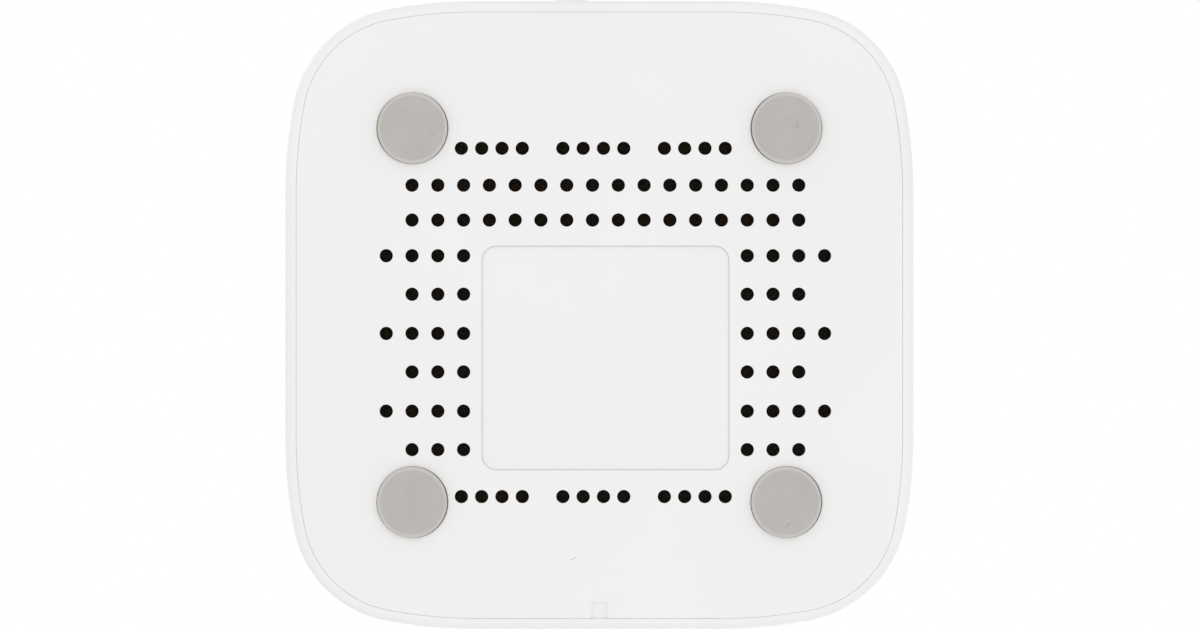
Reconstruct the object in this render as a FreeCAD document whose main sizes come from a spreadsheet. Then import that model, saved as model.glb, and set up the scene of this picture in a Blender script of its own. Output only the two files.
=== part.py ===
import FreeCAD
import Part

import math
import os
import re

import Sketcher
from FreeCAD import Rotation, Vector

# A wired radio gateway: a square box with bulging sides that stands on four rubber feet.
# Millimetres, +Z up, origin at the centre of the footprint in the plane of the feet.
# The sockets and the reset button are on the rear wall, which faces +Y.

SIZES = {
    # Outline of the housing: straight sides, wide shoulder arcs and tighter corner arcs
    "bodyWidth": 90.0,
    "overallHeight": 22.5,
    "straightSide": 34.9,
    "shoulderRadius": 70.7,
    "cornerRadius": 16.6,
    "topEdgeRadius": 2.5,
    "rimRadius": 1.5,
    # Upper shell
    "wallThickness": 2.2,
    "cutOverrun": 1.0,
    "roofThickness": 1.8,
    "lipThickness": 1.6,
    # Base plate
    "plateThickness": 2.0,
    "seamGap": 0.08,
    "plateChamfer": 0.2,
    "ribThickness": 1.0,
    "ribHeight": 1.4,
    "ribGap": 0.2,
    # Snap hooks at the front and the sides, lugs at the rear
    "hookSpacing": 26.0,
    "hookWidth": 5.0,
    "hookThickness": 1.2,
    "hookHeight": 5.4,
    "hookGap": 0.2,
    "catchDepth": 0.7,
    "catchHeight": 1.6,
    "catchFace": 0.4,
    "hookLead": 0.3,
    "catchClearance": 0.1,
    "lugHeight": 1.9,
    "lugThickness": 0.9,
    # Label recess and pry notch in the underside
    "labelWidth": 35.3,
    "labelLength": 32.0,
    "labelCornerRadius": 2.1,
    "labelDepth": 0.3,
    "labelX": -0.87,
    "labelY": -6.1,
    "notchWidth": 2.2,
    "notchLength": 2.35,
    "notchDepth": 0.35,
    # Vents: a grid of columns, and a closer pitch in the end rows
    "ventDiameter": 1.86,
    "columnPitch": 3.69,
    "columnsX": -0.81,
    "longRowY": 18.64,
    "longRowPitch": 4.99,
    "outerColumnsY": 8.51,
    "innerColumnsY": 3.0,
    "sideRowPitch": 11.12,
    "endRowPitch": 2.905,
    "endRowX": 0.87,
    "endRowY": 23.92,
    "endRowSpacing": 49.88,
    # Rubber feet, with their centres at a margin from the sides
    "footDiameter": 10.0,
    "footMargin": 18.25,
    "footStandOut": 1.2,
    "footRecessDepth": 0.8,
    "footGap": 0.12,
    "footEdgeRadius": 0.6,
    # Circuit board, its bosses and its screws
    "boardThickness": 1.6,
    "boardDrop": 13.7,
    "boardSideGap": 3.3,
    "boardCornerCut": 8.0,
    "boardTabWidth": 46.0,
    "boardTabGap": 0.5,
    "bossMarginX": 13.0,
    "bossMarginY": 14.0,
    "bossDiameter": 6.4,
    "pilotDepth": 6.0,
    "screwDiameter": 2.0,
    "screwLength": 6.0,
    "screwHeadDiameter": 3.8,
    "screwHeadHeight": 1.2,
    "screwGap": 0.05,
    "boardHoleGap": 0.2,
    # Network socket
    "jackX": -12.7,
    "jackWidth": 16.0,
    "jackHeight": 11.6,
    "jackDepth": 21.3,
    "jackSetback": 0.5,
    "jackSheet": 0.3,
    "jackFit": 0.05,
    "plugWidth": 11.9,
    "plugHeight": 6.8,
    "plugDepth": 15.0,
    "latchWidth": 6.2,
    "latchHeight": 1.5,
    "latchNeckWidth": 3.4,
    "latchNeckHeight": 1.0,
    "plugFloor": 3.2,
    "contactPitch": 1.02,
    "contactWidth": 0.45,
    "contactThickness": 0.3,
    "contactDrop": 3.6,
    "contactBend": 0.9,
    "contactSlotFront": 3.75,
    "contactSlotDrop": 1.7,
    "windowGap": 0.25,
    # Power socket
    "usbX": 17.5,
    "usbWidth": 7.6,
    "usbHeight": 2.9,
    "usbDepth": 5.4,
    "usbSetback": 0.7,
    "usbSheet": 0.3,
    "usbCornerCut": 0.9,
    "usbWindowGap": 0.5,
    "usbWindowRadius": 1.15,
    "tongueWidth": 3.8,
    "tongueThickness": 0.6,
    "tongueLength": 4.3,
    "tongueHeel": 1.1,
    "usbContactPitch": 0.65,
    "usbContactWidth": 0.35,
    "usbContactThickness": 0.12,
    "usbContactLength": 3.0,
    # Reset button and the switch behind it
    "buttonX": 4.15,
    "buttonHeight": 4.0,
    "buttonDiameter": 6.3,
    "buttonDome": 0.95,
    "crownDiameter": 1.5,
    "shoulderDiameter": 3.8,
    "shoulderRise": 0.71,
    "buttonGap": 0.1,
    "flangeDiameter": 7.6,
    "flangeThickness": 1.0,
    "flangeClearance": 0.1,
    "stemDiameter": 3.0,
    "stemLength": 1.2,
    "switchBodyWidth": 6.0,
    "switchBodyDepth": 3.4,
    "switchSheet": 0.3,
    "plungerDiameter": 3.5,
    "plungerGap": 0.08,
    "plungerInset": 0.9,
    "switchTravel": 0.3,
    # Light guide and its diodes
    "lightPitch": 7.0,
    "lightMargin": 11.0,
    "lensDiameter": 1.8,
    "lensGap": 0.05,
    "pipeDiameter": 2.8,
    "pipeGap": 0.2,
    "guideBarThickness": 1.4,
    "guideBarWidth": 4.4,
    "diodeWidth": 2.8,
    "diodeLength": 3.5,
    "diodeHeight": 1.2,
    # Radio module
    "moduleX": 19.0,
    "moduleY": 9.0,
    "moduleWidth": 16.0,
    "moduleLength": 24.0,
    "moduleThickness": 1.0,
    "canWidth": 13.0,
    "canLength": 15.0,
    "canHeight": 2.2,
    "canMargin": 1.0,
    "antennaThickness": 0.15,
    "antennaPitch": 1.4,
    "antennaTrace": 0.5,
    "antennaHeight": 4.0,
    "antennaMargin": 1.2,
    # Chips and passive parts, and their places on the board
    "packageBevel": 0.3,
    "processorX": -8.0,
    "processorY": -4.0,
    "processorWidth": 12.0,
    "processorHeight": 1.2,
    "flashX": -22.0,
    "flashY": -4.0,
    "flashWidth": 5.3,
    "flashHeight": 1.9,
    "transformerY": 12.0,
    "transformerWidth": 12.7,
    "transformerLength": 9.0,
    "transformerHeight": 5.6,
    "crystalOneX": -8.0,
    "crystalOneY": -17.0,
    "crystalTwoX": -25.0,
    "crystalTwoY": 8.0,
    "crystalWidth": 4.7,
    "crystalLength": 11.2,
    "crystalHeight": 3.6,
    "inductorOneX": 22.0,
    "inductorOneY": 29.0,
    "inductorTwoX": 12.0,
    "inductorTwoY": -12.0,
    "inductorWidth": 5.0,
    "inductorHeight": 2.6,
    "regulatorOneX": 14.0,
    "regulatorOneY": 30.0,
    "regulatorTwoX": 4.0,
    "regulatorTwoY": -12.0,
    "regulatorWidth": 3.5,
    "regulatorLength": 6.5,
    "regulatorHeight": 1.7,
    "canCapOneX": 30.0,
    "canCapOneY": 24.0,
    "canCapTwoX": 20.0,
    "canCapTwoY": -14.0,
    "canCapDiameter": 6.3,
    "canCapHeight": 5.6,
    "chipCapY": 4.6,
    "chipCapPitch": 3.2,
    "chipCapLength": 2.0,
    "chipCapWidth": 1.25,
    "chipCapHeight": 1.0,
}

# Sides given to rounds that repeat: small ones such as the vents, and the feet
SMALL_ROUND_SIDES = 12
FOOT_SIDES = 24

# How many there are of what repeats
VENTS_IN_GROUP = 4
END_GROUPS = (-1, 0, 1)
LONG_ROW_VENTS = 16
LONG_ROWS = 2
SIDE_ROWS = 3
OUTER_VENTS = 4
INNER_VENTS = 3
PLUG_CONTACTS = 8
USB_CONTACTS = 5
ANTENNA_WAVES = 5
CHIP_CAPACITORS = 6
LIGHTS = (-1, 0, 1)

# A rounded edge in three flats that touch its arc: the size of the first chamfer, and of the second
# on both its edges, as shares of the radius
FIRST_FLAT = 2 - math.sqrt(2)
SECOND_FLAT = math.tan(math.pi / 8) - math.tan(math.pi / 16)

# Heights and distances that follow from the sizes
PLACES = {
    "halfWidth": "bodyWidth / 2",
    "plateTop": "footStandOut + plateThickness",
    "roofUnderside": "overallHeight - roofThickness",
    "boardTop": "roofUnderside - boardDrop",
    "boardUnderside": "boardTop - boardThickness",
    "wallInside": "halfWidth - wallThickness",
    "plateInset": "lipThickness + seamGap",
    "ribInset": "wallThickness + ribGap",
    "hookOutside": "wallInside - hookGap",
    "hookInside": "hookOutside - hookThickness",
    "catchTop": "plateTop + hookHeight",
    "catchBottom": "catchTop - catchHeight",
    "lugTop": "plateTop + lugHeight",
    "footPlace": "halfWidth - footMargin",
    "bossX": "halfWidth - bossMarginX",
    "bossY": "halfWidth - bossMarginY",
    "boardHalf": "wallInside - boardSideGap",
    "boardRear": "wallInside - boardTabGap",
    "jackFace": "halfWidth - jackSetback",
    "jackTop": "boardTop + jackHeight",
    "insertInset": "jackSheet + jackFit",
    "insertFront": "jackFace - insertInset",
    "plugBottom": "boardTop + plugFloor",
    "plugTop": "plugBottom + plugHeight",
    "usbFace": "halfWidth - usbSetback",
    "usbTop": "boardTop + usbHeight",
    "usbMiddle": "boardTop + usbHeight / 2",
    "buttonZ": "boardTop + buttonHeight",
    "flangeFront": "wallInside - flangeClearance",
    "flangeBack": "flangeFront - flangeThickness",
    "stemEnd": "flangeBack - stemLength",
    "switchFront": "stemEnd - switchTravel - plungerInset",
    "lightY": "lightMargin - halfWidth",
    "guideBottom": "roofUnderside - guideBarThickness",
    "diodeTop": "boardTop + diodeHeight",
    "moduleTop": "boardTop + moduleThickness",
}

doc = FreeCAD.newDocument("Gateway")
sheet = doc.addObject("Spreadsheet::Sheet", "Sizes")


def fill_sheet():
    """One row for each size: its name, and its number in a cell with that alias."""
    for row, (word, number) in enumerate(SIZES.items(), start=1):
        sheet.set(f"A{row}", word)
        sheet.set(f"B{row}", str(number))
        sheet.setAlias(f"B{row}", word)
    doc.recompute()


def linked(expression):
    """The expression with places spelled out and each size pointing at its cell."""

    def replace(match):
        word = match.group()
        if word in PLACES:
            return "(" + linked(PLACES[word]) + ")"
        if word in SIZES:
            return "Sizes." + word
        return word

    return re.sub(r"[A-Za-z]\w*", replace, str(expression))


def number(expression):
    """The present value of an expression."""
    return float(sheet.evalExpression(linked(expression)))


def bind(item, **properties):
    """Tie properties to expressions; a double underscore stands for a dot."""
    for name, expression in properties.items():
        item.setExpression(name.replace("__", "."), linked(expression))


def at(item, x="0", y="0", z="0"):
    bind(item, Placement__Base__x=x, Placement__Base__y=y, Placement__Base__z=z)
    return item


# Sketches

def origin_plane(body, role):
    for feature in body.Origin.OriginFeatures:
        if feature.Role == role:
            return feature
    raise ValueError(role)


def sketch_on(body, role, offset, name):
    """A sketch on one of the body's own planes, moved along its normal."""
    sketch = body.newObject("Sketcher::SketchObject", name)
    sketch.AttachmentSupport = [(origin_plane(body, role), "")]
    sketch.MapMode = "FlatFace"
    bind(sketch, AttachmentOffset__Base__z=offset)
    return sketch


def dimension(sketch, kind, *references, value):
    """A dimension whose value is an expression."""
    index = sketch.addConstraint(Sketcher.Constraint(kind, *references, number(value)))
    sketch.setExpression(f"Constraints[{index}]", linked(value))


def place_point(sketch, geometry, point, x, y):
    """Hold a point at x and y from the sketch's origin."""
    for kind, value in (("DistanceX", x), ("DistanceY", y)):
        distance = number(value)
        if abs(distance) < 1e-9:
            axis = -2 if kind == "DistanceX" else -1
            sketch.addConstraint(Sketcher.Constraint("PointOnObject", geometry, point, axis))
        else:
            dimension(sketch, kind, -1, 1, geometry, point, value=value)


def add_circle(sketch, x, y, diameter):
    circle = Part.Circle(Vector(number(x), number(y), 0), Vector(0, 0, 1), number(diameter) / 2)
    index = sketch.addGeometry(circle)
    place_point(sketch, index, 3, x, y)
    dimension(sketch, "Diameter", index, value=diameter)


def add_many_sided(sketch, x, y, diameter, sides=SMALL_ROUND_SIDES):
    """A regular outline of a few sides on a circle, for a round that repeats."""
    centre = Vector(number(x), number(y), 0)
    radius = number(diameter) / 2
    guide = sketch.addGeometry(Part.Circle(centre, Vector(0, 0, 1), radius), True)
    place_point(sketch, guide, 3, x, y)
    dimension(sketch, "Diameter", guide, value=diameter)
    corners = []
    for k in range(sides):
        turn = 2 * math.pi * k / sides
        corners.append(centre + Vector(math.cos(turn), math.sin(turn), 0) * radius)
    first = guide + 1
    for k in range(sides):
        sketch.addGeometry(Part.LineSegment(corners[k], corners[(k + 1) % sides]))
    for k in range(sides):
        after = first + (k + 1) % sides
        sketch.addConstraint(Sketcher.Constraint("Coincident", first + k, 2, after, 1))
        sketch.addConstraint(Sketcher.Constraint("PointOnObject", first + k, 1, guide))
        if k:
            sketch.addConstraint(Sketcher.Constraint("Equal", first, first + k))
    sketch.addConstraint(Sketcher.Constraint("Horizontal", guide, 3, first, 1))


def add_polygon(sketch, corners):
    """A closed outline of straight edges through corners given as expressions."""
    points = [Vector(number(x), number(y), 0) for x, y in corners]
    first = len(sketch.Geometry)
    count = len(points)
    for k in range(count):
        sketch.addGeometry(Part.LineSegment(points[k], points[(k + 1) % count]))
    for k in range(count):
        after = first + (k + 1) % count
        sketch.addConstraint(Sketcher.Constraint("Coincident", first + k, 2, after, 1))
    for k, (x, y) in enumerate(corners):
        place_point(sketch, first + k, 1, x, y)


def add_rectangle(sketch, left, right, bottom, top):
    add_polygon(sketch, [(left, bottom), (right, bottom), (right, top), (left, top)])


def add_round_rectangle(sketch, x, y, width, length, radius):
    """A rectangle with its centre at x and y and four equal rounded corners."""
    half_x = number(width) / 2
    half_y = number(length) / 2
    r = number(radius)
    centre = Vector(number(x), number(y), 0)
    first = len(sketch.Geometry)
    inner = [(half_x - r, half_y - r), (r - half_x, half_y - r),
             (r - half_x, r - half_y), (half_x - r, r - half_y)]
    for k, (corner_x, corner_y) in enumerate(inner):
        middle = centre + Vector(corner_x, corner_y, 0)
        circle = Part.Circle(middle, Vector(0, 0, 1), r)
        start = k * math.pi / 2
        sketch.addGeometry(Part.ArcOfCircle(circle, start, start + math.pi / 2))
        next_x, next_y = inner[(k + 1) % 4]
        step = Vector(math.cos(start + math.pi / 2), math.sin(start + math.pi / 2), 0) * r
        beyond = centre + Vector(next_x, next_y, 0) + step
        sketch.addGeometry(Part.LineSegment(middle + step, beyond))
    for k in range(4):
        arc = first + 2 * k
        line = arc + 1
        after = first + (2 * k + 2) % 8
        sketch.addConstraint(Sketcher.Constraint("Tangent", arc, 2, line, 1))
        sketch.addConstraint(Sketcher.Constraint("Tangent", line, 2, after, 1))
        if k:
            sketch.addConstraint(Sketcher.Constraint("Equal", first, arc))
    for k, kind in enumerate(("Horizontal", "Vertical", "Horizontal")):
        sketch.addConstraint(Sketcher.Constraint(kind, first + 2 * k + 1))
    dimension(sketch, "Radius", first, value=radius)
    place_point(sketch, first, 3, f"({x}) + ({width}) / 2 - ({radius})",
                f"({y}) + ({length}) / 2 - ({radius})")
    place_point(sketch, first + 4, 3, f"({x}) - ({width}) / 2 + ({radius})",
                f"({y}) - ({length}) / 2 + ({radius})")


def turned(x, y, quarter):
    """A point turned by quarter turns about the origin."""
    for _ in range(quarter):
        x, y = -y, x
    return Vector(x, y, 0)


def add_outline(sketch, inset):
    """The housing's outline moved inwards by an inset, as four sides of straight line,
    shoulder arc, corner arc and shoulder arc, each tangent to the next. The corner arc's
    centre is on the diagonal, where it is one radius difference from the shoulder's centre."""
    half = number(f"halfWidth - ({inset})")
    flat = number("straightSide / 2")
    shoulder = number(f"shoulderRadius - ({inset})")
    corner = number(f"cornerRadius - ({inset})")
    shoulder_x = half - shoulder
    reach = shoulder - corner
    spread = math.sqrt(2 * reach ** 2 - (shoulder_x - flat) ** 2)
    centre = (shoulder_x + flat + spread) / 2
    join = math.atan2(centre - flat, centre - shoulder_x)
    first = len(sketch.Geometry)
    for quarter in range(4):
        turn = quarter * math.pi / 2
        arcs = (
            (shoulder_x, flat, shoulder, 0, join),
            (centre, centre, corner, join, math.pi / 2 - join),
            (flat, shoulder_x, shoulder, math.pi / 2 - join, math.pi / 2),
        )
        sketch.addGeometry(Part.LineSegment(turned(half, -flat, quarter), turned(half, flat, quarter)))
        for x, y, radius, start, end in arcs:
            circle = Part.Circle(turned(x, y, quarter), Vector(0, 0, 1), radius)
            sketch.addGeometry(Part.ArcOfCircle(circle, start + turn, end + turn))
    for k in range(16):
        after = first + (k + 1) % 16
        sketch.addConstraint(Sketcher.Constraint("Tangent", first + k, 2, after, 1))
    for quarter in range(4):
        line = first + 4 * quarter
        axis = -1 if quarter % 2 == 0 else -2
        sketch.addConstraint(Sketcher.Constraint("Symmetric", line, 1, line, 2, axis))
        if quarter:
            sketch.addConstraint(Sketcher.Constraint("Equal", first, line))
            sketch.addConstraint(Sketcher.Constraint("Equal", first + 1, line + 1))
            sketch.addConstraint(Sketcher.Constraint("Equal", first + 2, line + 2))
        sketch.addConstraint(Sketcher.Constraint("Equal", first + 1, line + 3))
    dimension(sketch, "DistanceY", first, 1, first, 2, value="straightSide")
    dimension(sketch, "Radius", first + 1, value=f"shoulderRadius - ({inset})")
    dimension(sketch, "Radius", first + 2, value=f"cornerRadius - ({inset})")
    distance = f"halfWidth - ({inset})"
    dimension(sketch, "DistanceX", -1, 1, first, 1, value=distance)
    dimension(sketch, "DistanceY", -1, 1, first + 4, 1, value=distance)
    dimension(sketch, "DistanceX", first + 8, 1, -1, 1, value=distance)
    dimension(sketch, "DistanceY", first + 12, 1, -1, 1, value=distance)


# Features

def new_body(label):
    body = doc.addObject("PartDesign::Body", label)
    body.Label = label
    return body


def pad(body, sketch, length, reverse=False, middle=False):
    feature = body.newObject("PartDesign::Pad", "Pad")
    feature.Profile = sketch
    feature.Reversed = reverse
    feature.Midplane = middle
    bind(feature, Length=length)
    body.Tip = feature
    doc.recompute()
    return feature


def pocket(body, sketch, depth, reverse=False):
    """A pocket, which has to take material away."""
    before = body.Shape.Volume
    feature = body.newObject("PartDesign::Pocket", "Pocket")
    feature.Profile = sketch
    feature.Reversed = reverse
    bind(feature, Length=depth)
    body.Tip = feature
    doc.recompute()
    if not body.Shape.Volume < before - 1e-4:
        raise RuntimeError(f"{sketch.Name} of {body.Label} cuts nothing")
    return feature


def edges_near(shape, level):
    """Names of the edges that lie wholly at one height."""
    names = []
    for index, edge in enumerate(shape.Edges, start=1):
        if all(abs(vertex.Z - level) < 1e-4 for vertex in edge.Vertexes):
            names.append(f"Edge{index}")
    return names


def bevel(body, size, *levels):
    """A chamfer on the edges of the tip that lie at these levels."""
    base = body.Tip
    names = [name for level in levels for name in edges_near(base.Shape, number(level))]
    feature = body.newObject("PartDesign::Chamfer", "Chamfer")
    feature.Base = (base, names)
    bind(feature, Size=size)
    body.Tip = feature
    doc.recompute()
    return feature


def round_edge(body, level, radius, wall_side):
    """A rounded horizontal edge in three flats; wall_side is the sign of the wall's way from it."""
    bevel(body, f"{radius} * {FIRST_FLAT}", level)
    bevel(body, f"{radius} * {SECOND_FLAT}", level, f"{level} + {wall_side} * {radius} * {FIRST_FLAT}")


def repeat(body, features, steps):
    """Repeat features by several patterns in turn."""
    multi = body.newObject("PartDesign::MultiTransform", "MultiTransform")
    multi.Originals = features
    for step in steps:
        body.addObject(step)
    multi.Transformations = steps
    body.Tip = multi
    doc.recompute()
    return multi


def mirrored(body, role):
    mirror = doc.addObject("PartDesign::Mirrored", "Mirrored")
    mirror.MirrorPlane = (origin_plane(body, role), [""])
    return mirror


def three_sides(body):
    """A turn that copies what is at +X to the front and to -X."""
    pattern = doc.addObject("PartDesign::PolarPattern", "PolarPattern")
    pattern.Axis = (origin_plane(body, "Z_Axis"), [""])
    pattern.Angle = 180
    pattern.Reversed = True
    pattern.Occurrences = 3
    return pattern


def block(label, x, y, z, width, length, height):
    """A box centred at x and y that stands on z."""
    box = doc.addObject("Part::Box", label)
    box.Label = label
    bind(box, Length=width, Width=length, Height=height)
    return at(box, f"({x}) - ({width}) / 2", f"({y}) - ({length}) / 2", z)


def small_post(label, x, y, z, diameter, height):
    """An upright post with a few sides, for a small round that repeats."""
    prism = doc.addObject("Part::Prism", label)
    prism.Label = label
    prism.Polygon = SMALL_ROUND_SIDES
    bind(prism, Circumradius=f"({diameter}) / 2", Height=height)
    return at(prism, x, y, z)


def rod_backwards(label, x, y, z, diameter, length):
    """A post laid down so that it runs from y towards +Y."""
    rod = small_post(label, x, y, z, diameter, length)
    rod.Placement.Rotation = Rotation(Vector(1, 0, 0), -90)
    return rod


def combine(kind, label, *shapes):
    """A Part boolean or compound of two or more shapes."""
    result = doc.addObject(kind, label)
    result.Label = label
    if kind == "Part::Cut":
        result.Base, result.Tool = shapes
    elif kind == "Part::Compound":
        result.Links = list(shapes)
    else:
        result.Shapes = list(shapes)
    return result


# Housing

def make_top_shell():
    """A bucket, open below, whose lower lip curves round to the seam."""
    body = new_body("top_shell")
    outline = sketch_on(body, "XY_Plane", "footStandOut", "shell_outline")
    add_outline(outline, "0")
    pad(body, outline, "overallHeight - footStandOut")
    round_edge(body, "overallHeight", "topEdgeRadius", -1)
    round_edge(body, "footStandOut", "rimRadius", 1)

    cavity = sketch_on(body, "XY_Plane", "footStandOut", "shell_cavity")
    add_outline(cavity, "wallThickness")
    pocket(body, cavity, "roofUnderside - footStandOut", reverse=True)
    ledge = sketch_on(body, "XY_Plane", "footStandOut", "shell_ledge")
    add_outline(ledge, "lipThickness")
    pocket(body, ledge, "plateThickness", reverse=True)

    bosses = sketch_on(body, "XY_Plane", "boardTop", "boss_circles")
    pilots = sketch_on(body, "XY_Plane", "boardTop", "pilot_circles")
    for side_x in (-1, 1):
        for side_y in (-1, 1):
            add_many_sided(bosses, f"{side_x} * bossX", f"{side_y} * bossY", "bossDiameter")
            add_many_sided(pilots, f"{side_x} * bossX", f"{side_y} * bossY",
                           "screwDiameter + 2 * screwGap")
    pad(body, bosses, "boardDrop")
    pocket(body, pilots, "pilotDepth", reverse=True)

    windows = sketch_on(body, "XZ_Plane", "-(wallInside - cutOverrun)", "rear_windows")
    add_rectangle(windows, "jackX - jackWidth / 2 - windowGap", "jackX + jackWidth / 2 + windowGap",
                  "boardTop - windowGap", "jackTop + windowGap")
    add_round_rectangle(windows, "usbX", "usbMiddle", "usbWidth + 2 * usbWindowGap",
                        "usbHeight + 2 * usbWindowGap", "usbWindowRadius")
    add_circle(windows, "buttonX", "buttonZ", "buttonDiameter + 2 * buttonGap")
    pocket(body, windows, "wallThickness + 2 * cutOverrun")

    lights = sketch_on(body, "XY_Plane", "roofUnderside - cutOverrun", "light_holes")
    for place in LIGHTS:
        add_many_sided(lights, f"{place} * lightPitch", "lightY", "lensDiameter + 2 * lensGap")
    pocket(body, lights, "roofThickness + 2 * cutOverrun", reverse=True)

    catch = sketch_on(body, "YZ_Plane", "wallInside - hookGap", "hook_pocket")
    near = "hookSpacing / 2 - hookWidth / 2 - hookGap"
    far = "hookSpacing / 2 + hookWidth / 2 + hookGap"
    add_rectangle(catch, near, far, "catchBottom - catchClearance", "catchTop + catchClearance")
    side_cut = pocket(body, catch, "2 * hookGap + catchDepth", reverse=True)
    repeat(body, [side_cut], [mirrored(body, "XZ_Plane"), three_sides(body)])

    slot = sketch_on(body, "XZ_Plane", "-(wallInside - hookGap)", "lug_pocket")
    add_rectangle(slot, near, far, "lugTop - lugThickness - catchClearance", "lugTop + catchClearance")
    rear_cut = pocket(body, slot, "2 * hookGap + catchDepth")
    repeat(body, [rear_cut], [mirrored(body, "YZ_Plane")])
    return body


def make_base_plate():
    """The base: a plate flush with the shell's lip, with locating ribs, hooks, lugs and vents."""
    body = new_body("plate_blank")
    outline = sketch_on(body, "XY_Plane", "footStandOut", "plate_outline")
    add_outline(outline, "plateInset")
    pad(body, outline, "plateThickness")
    bevel(body, "plateChamfer", "footStandOut")

    ribs = sketch_on(body, "XY_Plane", "plateTop", "locating_ribs")
    outside = "(halfWidth - ribInset)"
    inside = f"({outside} - ribThickness)"
    for near, far in ((inside, outside), (f"-{outside}", f"-{inside}")):
        add_rectangle(ribs, near, far, "-straightSide / 2", "straightSide / 2")
        add_rectangle(ribs, "-straightSide / 2", "straightSide / 2", near, far)
    pad(body, ribs, "ribHeight")

    hook = sketch_on(body, "XZ_Plane", "-(hookSpacing + hookWidth) / 2", "hook_profile")
    add_polygon(hook, [
        ("hookInside", "plateTop - plateThickness / 2"),
        ("hookOutside", "plateTop - plateThickness / 2"),
        ("hookOutside", "catchBottom"),
        ("hookOutside + catchDepth", "catchBottom"),
        ("hookOutside + catchDepth", "catchBottom + catchFace"),
        ("hookOutside - hookLead", "catchTop"),
        ("hookInside", "catchTop"),
    ])
    hook_pad = pad(body, hook, "hookWidth")
    repeat(body, [hook_pad], [mirrored(body, "XZ_Plane"), three_sides(body)])

    lug = sketch_on(body, "YZ_Plane", "(hookSpacing - hookWidth) / 2", "lug_profile")
    add_polygon(lug, [
        ("hookInside", "plateTop - plateThickness / 2"),
        ("hookOutside", "plateTop - plateThickness / 2"),
        ("hookOutside", "lugTop - lugThickness"),
        ("hookOutside + catchDepth", "lugTop - lugThickness"),
        ("hookOutside + catchDepth", "lugTop"),
        ("hookInside", "lugTop"),
    ])
    lug_pad = pad(body, lug, "hookWidth")
    repeat(body, [lug_pad], [mirrored(body, "YZ_Plane")])

    recesses = sketch_on(body, "XY_Plane", "footStandOut", "foot_recesses")
    for side_x in (-1, 1):
        for side_y in (-1, 1):
            add_many_sided(recesses, f"{side_x} * footPlace", f"{side_y} * footPlace",
                           "footDiameter + 2 * footGap", FOOT_SIDES)
    pocket(body, recesses, "footRecessDepth", reverse=True)

    label = sketch_on(body, "XY_Plane", "footStandOut", "label_recess")
    add_round_rectangle(label, "labelX", "labelY", "labelWidth", "labelLength", "labelCornerRadius")
    pocket(body, label, "labelDepth", reverse=True)

    notch = sketch_on(body, "XY_Plane", "footStandOut", "pry_notch")
    edge = "-(halfWidth - lipThickness)"
    add_rectangle(notch, "-notchWidth / 2", "notchWidth / 2", edge, f"{edge} + notchLength")
    pocket(body, notch, "notchDepth", reverse=True)

    return cut_vents(body)


def vent_places():
    """Centres of the vents. Two closely pitched end rows hold three groups of four, two long rows
    run full width, and the short rows each side of the label stand out and in by turns."""
    places = []
    last_column = (LONG_ROW_VENTS - 1) / 2
    last_in_group = (VENTS_IN_GROUP - 1) / 2
    for row in range(LONG_ROWS):
        for group in END_GROUPS:
            for k in range(VENTS_IN_GROUP):
                step = (VENTS_IN_GROUP + 1) * group + k - last_in_group
                places.append((f"endRowX + endRowPitch * {step}", f"endRowY - endRowSpacing * {row}"))
        for k in range(LONG_ROW_VENTS):
            x = f"columnsX + columnPitch * {k - last_column}"
            places.append((x, f"longRowY - longRowPitch * {row}"))
    for row in range(SIDE_ROWS):
        for side in (-1, 1):
            for k in range(OUTER_VENTS):
                x = f"columnsX + columnPitch * {side * (last_column + 1 - k)}"
                places.append((x, f"outerColumnsY - sideRowPitch * {row}"))
            for k in range(INNER_VENTS):
                x = f"columnsX + columnPitch * {side * (last_column - k)}"
                places.append((x, f"innerColumnsY - sideRowPitch * {row}"))
    return places


def cut_vents(blank):
    """The plate with every vent cut through it at once."""
    pins = []
    for k, (x, y) in enumerate(vent_places(), start=1):
        pins.append(small_post(f"vent_pin_{k}", x, y, "footStandOut - cutOverrun",
                               "ventDiameter", "plateThickness + 2 * cutOverrun"))
    return combine("Part::Cut", "base_plate", blank, combine("Part::Compound", "vent_pins", *pins))


def make_foot(label, side_x, side_y):
    """A round rubber foot stuck in its recess, with its lower edge rounded."""
    body = new_body(label)
    outline = sketch_on(body, "XY_Plane", "0", "foot_outline")
    add_many_sided(outline, "0", "0", "footDiameter", FOOT_SIDES)
    pad(body, outline, "footStandOut + footRecessDepth")
    round_edge(body, "0", "footEdgeRadius", 1)
    return at(body, f"{side_x} * footPlace", f"{side_y} * footPlace", "0")


def make_feet():
    return [
        make_foot("foot_rear_left", 1, 1),
        make_foot("foot_rear_right", -1, 1),
        make_foot("foot_front_left", 1, -1),
        make_foot("foot_front_right", -1, -1),
    ]


# Board

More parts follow.
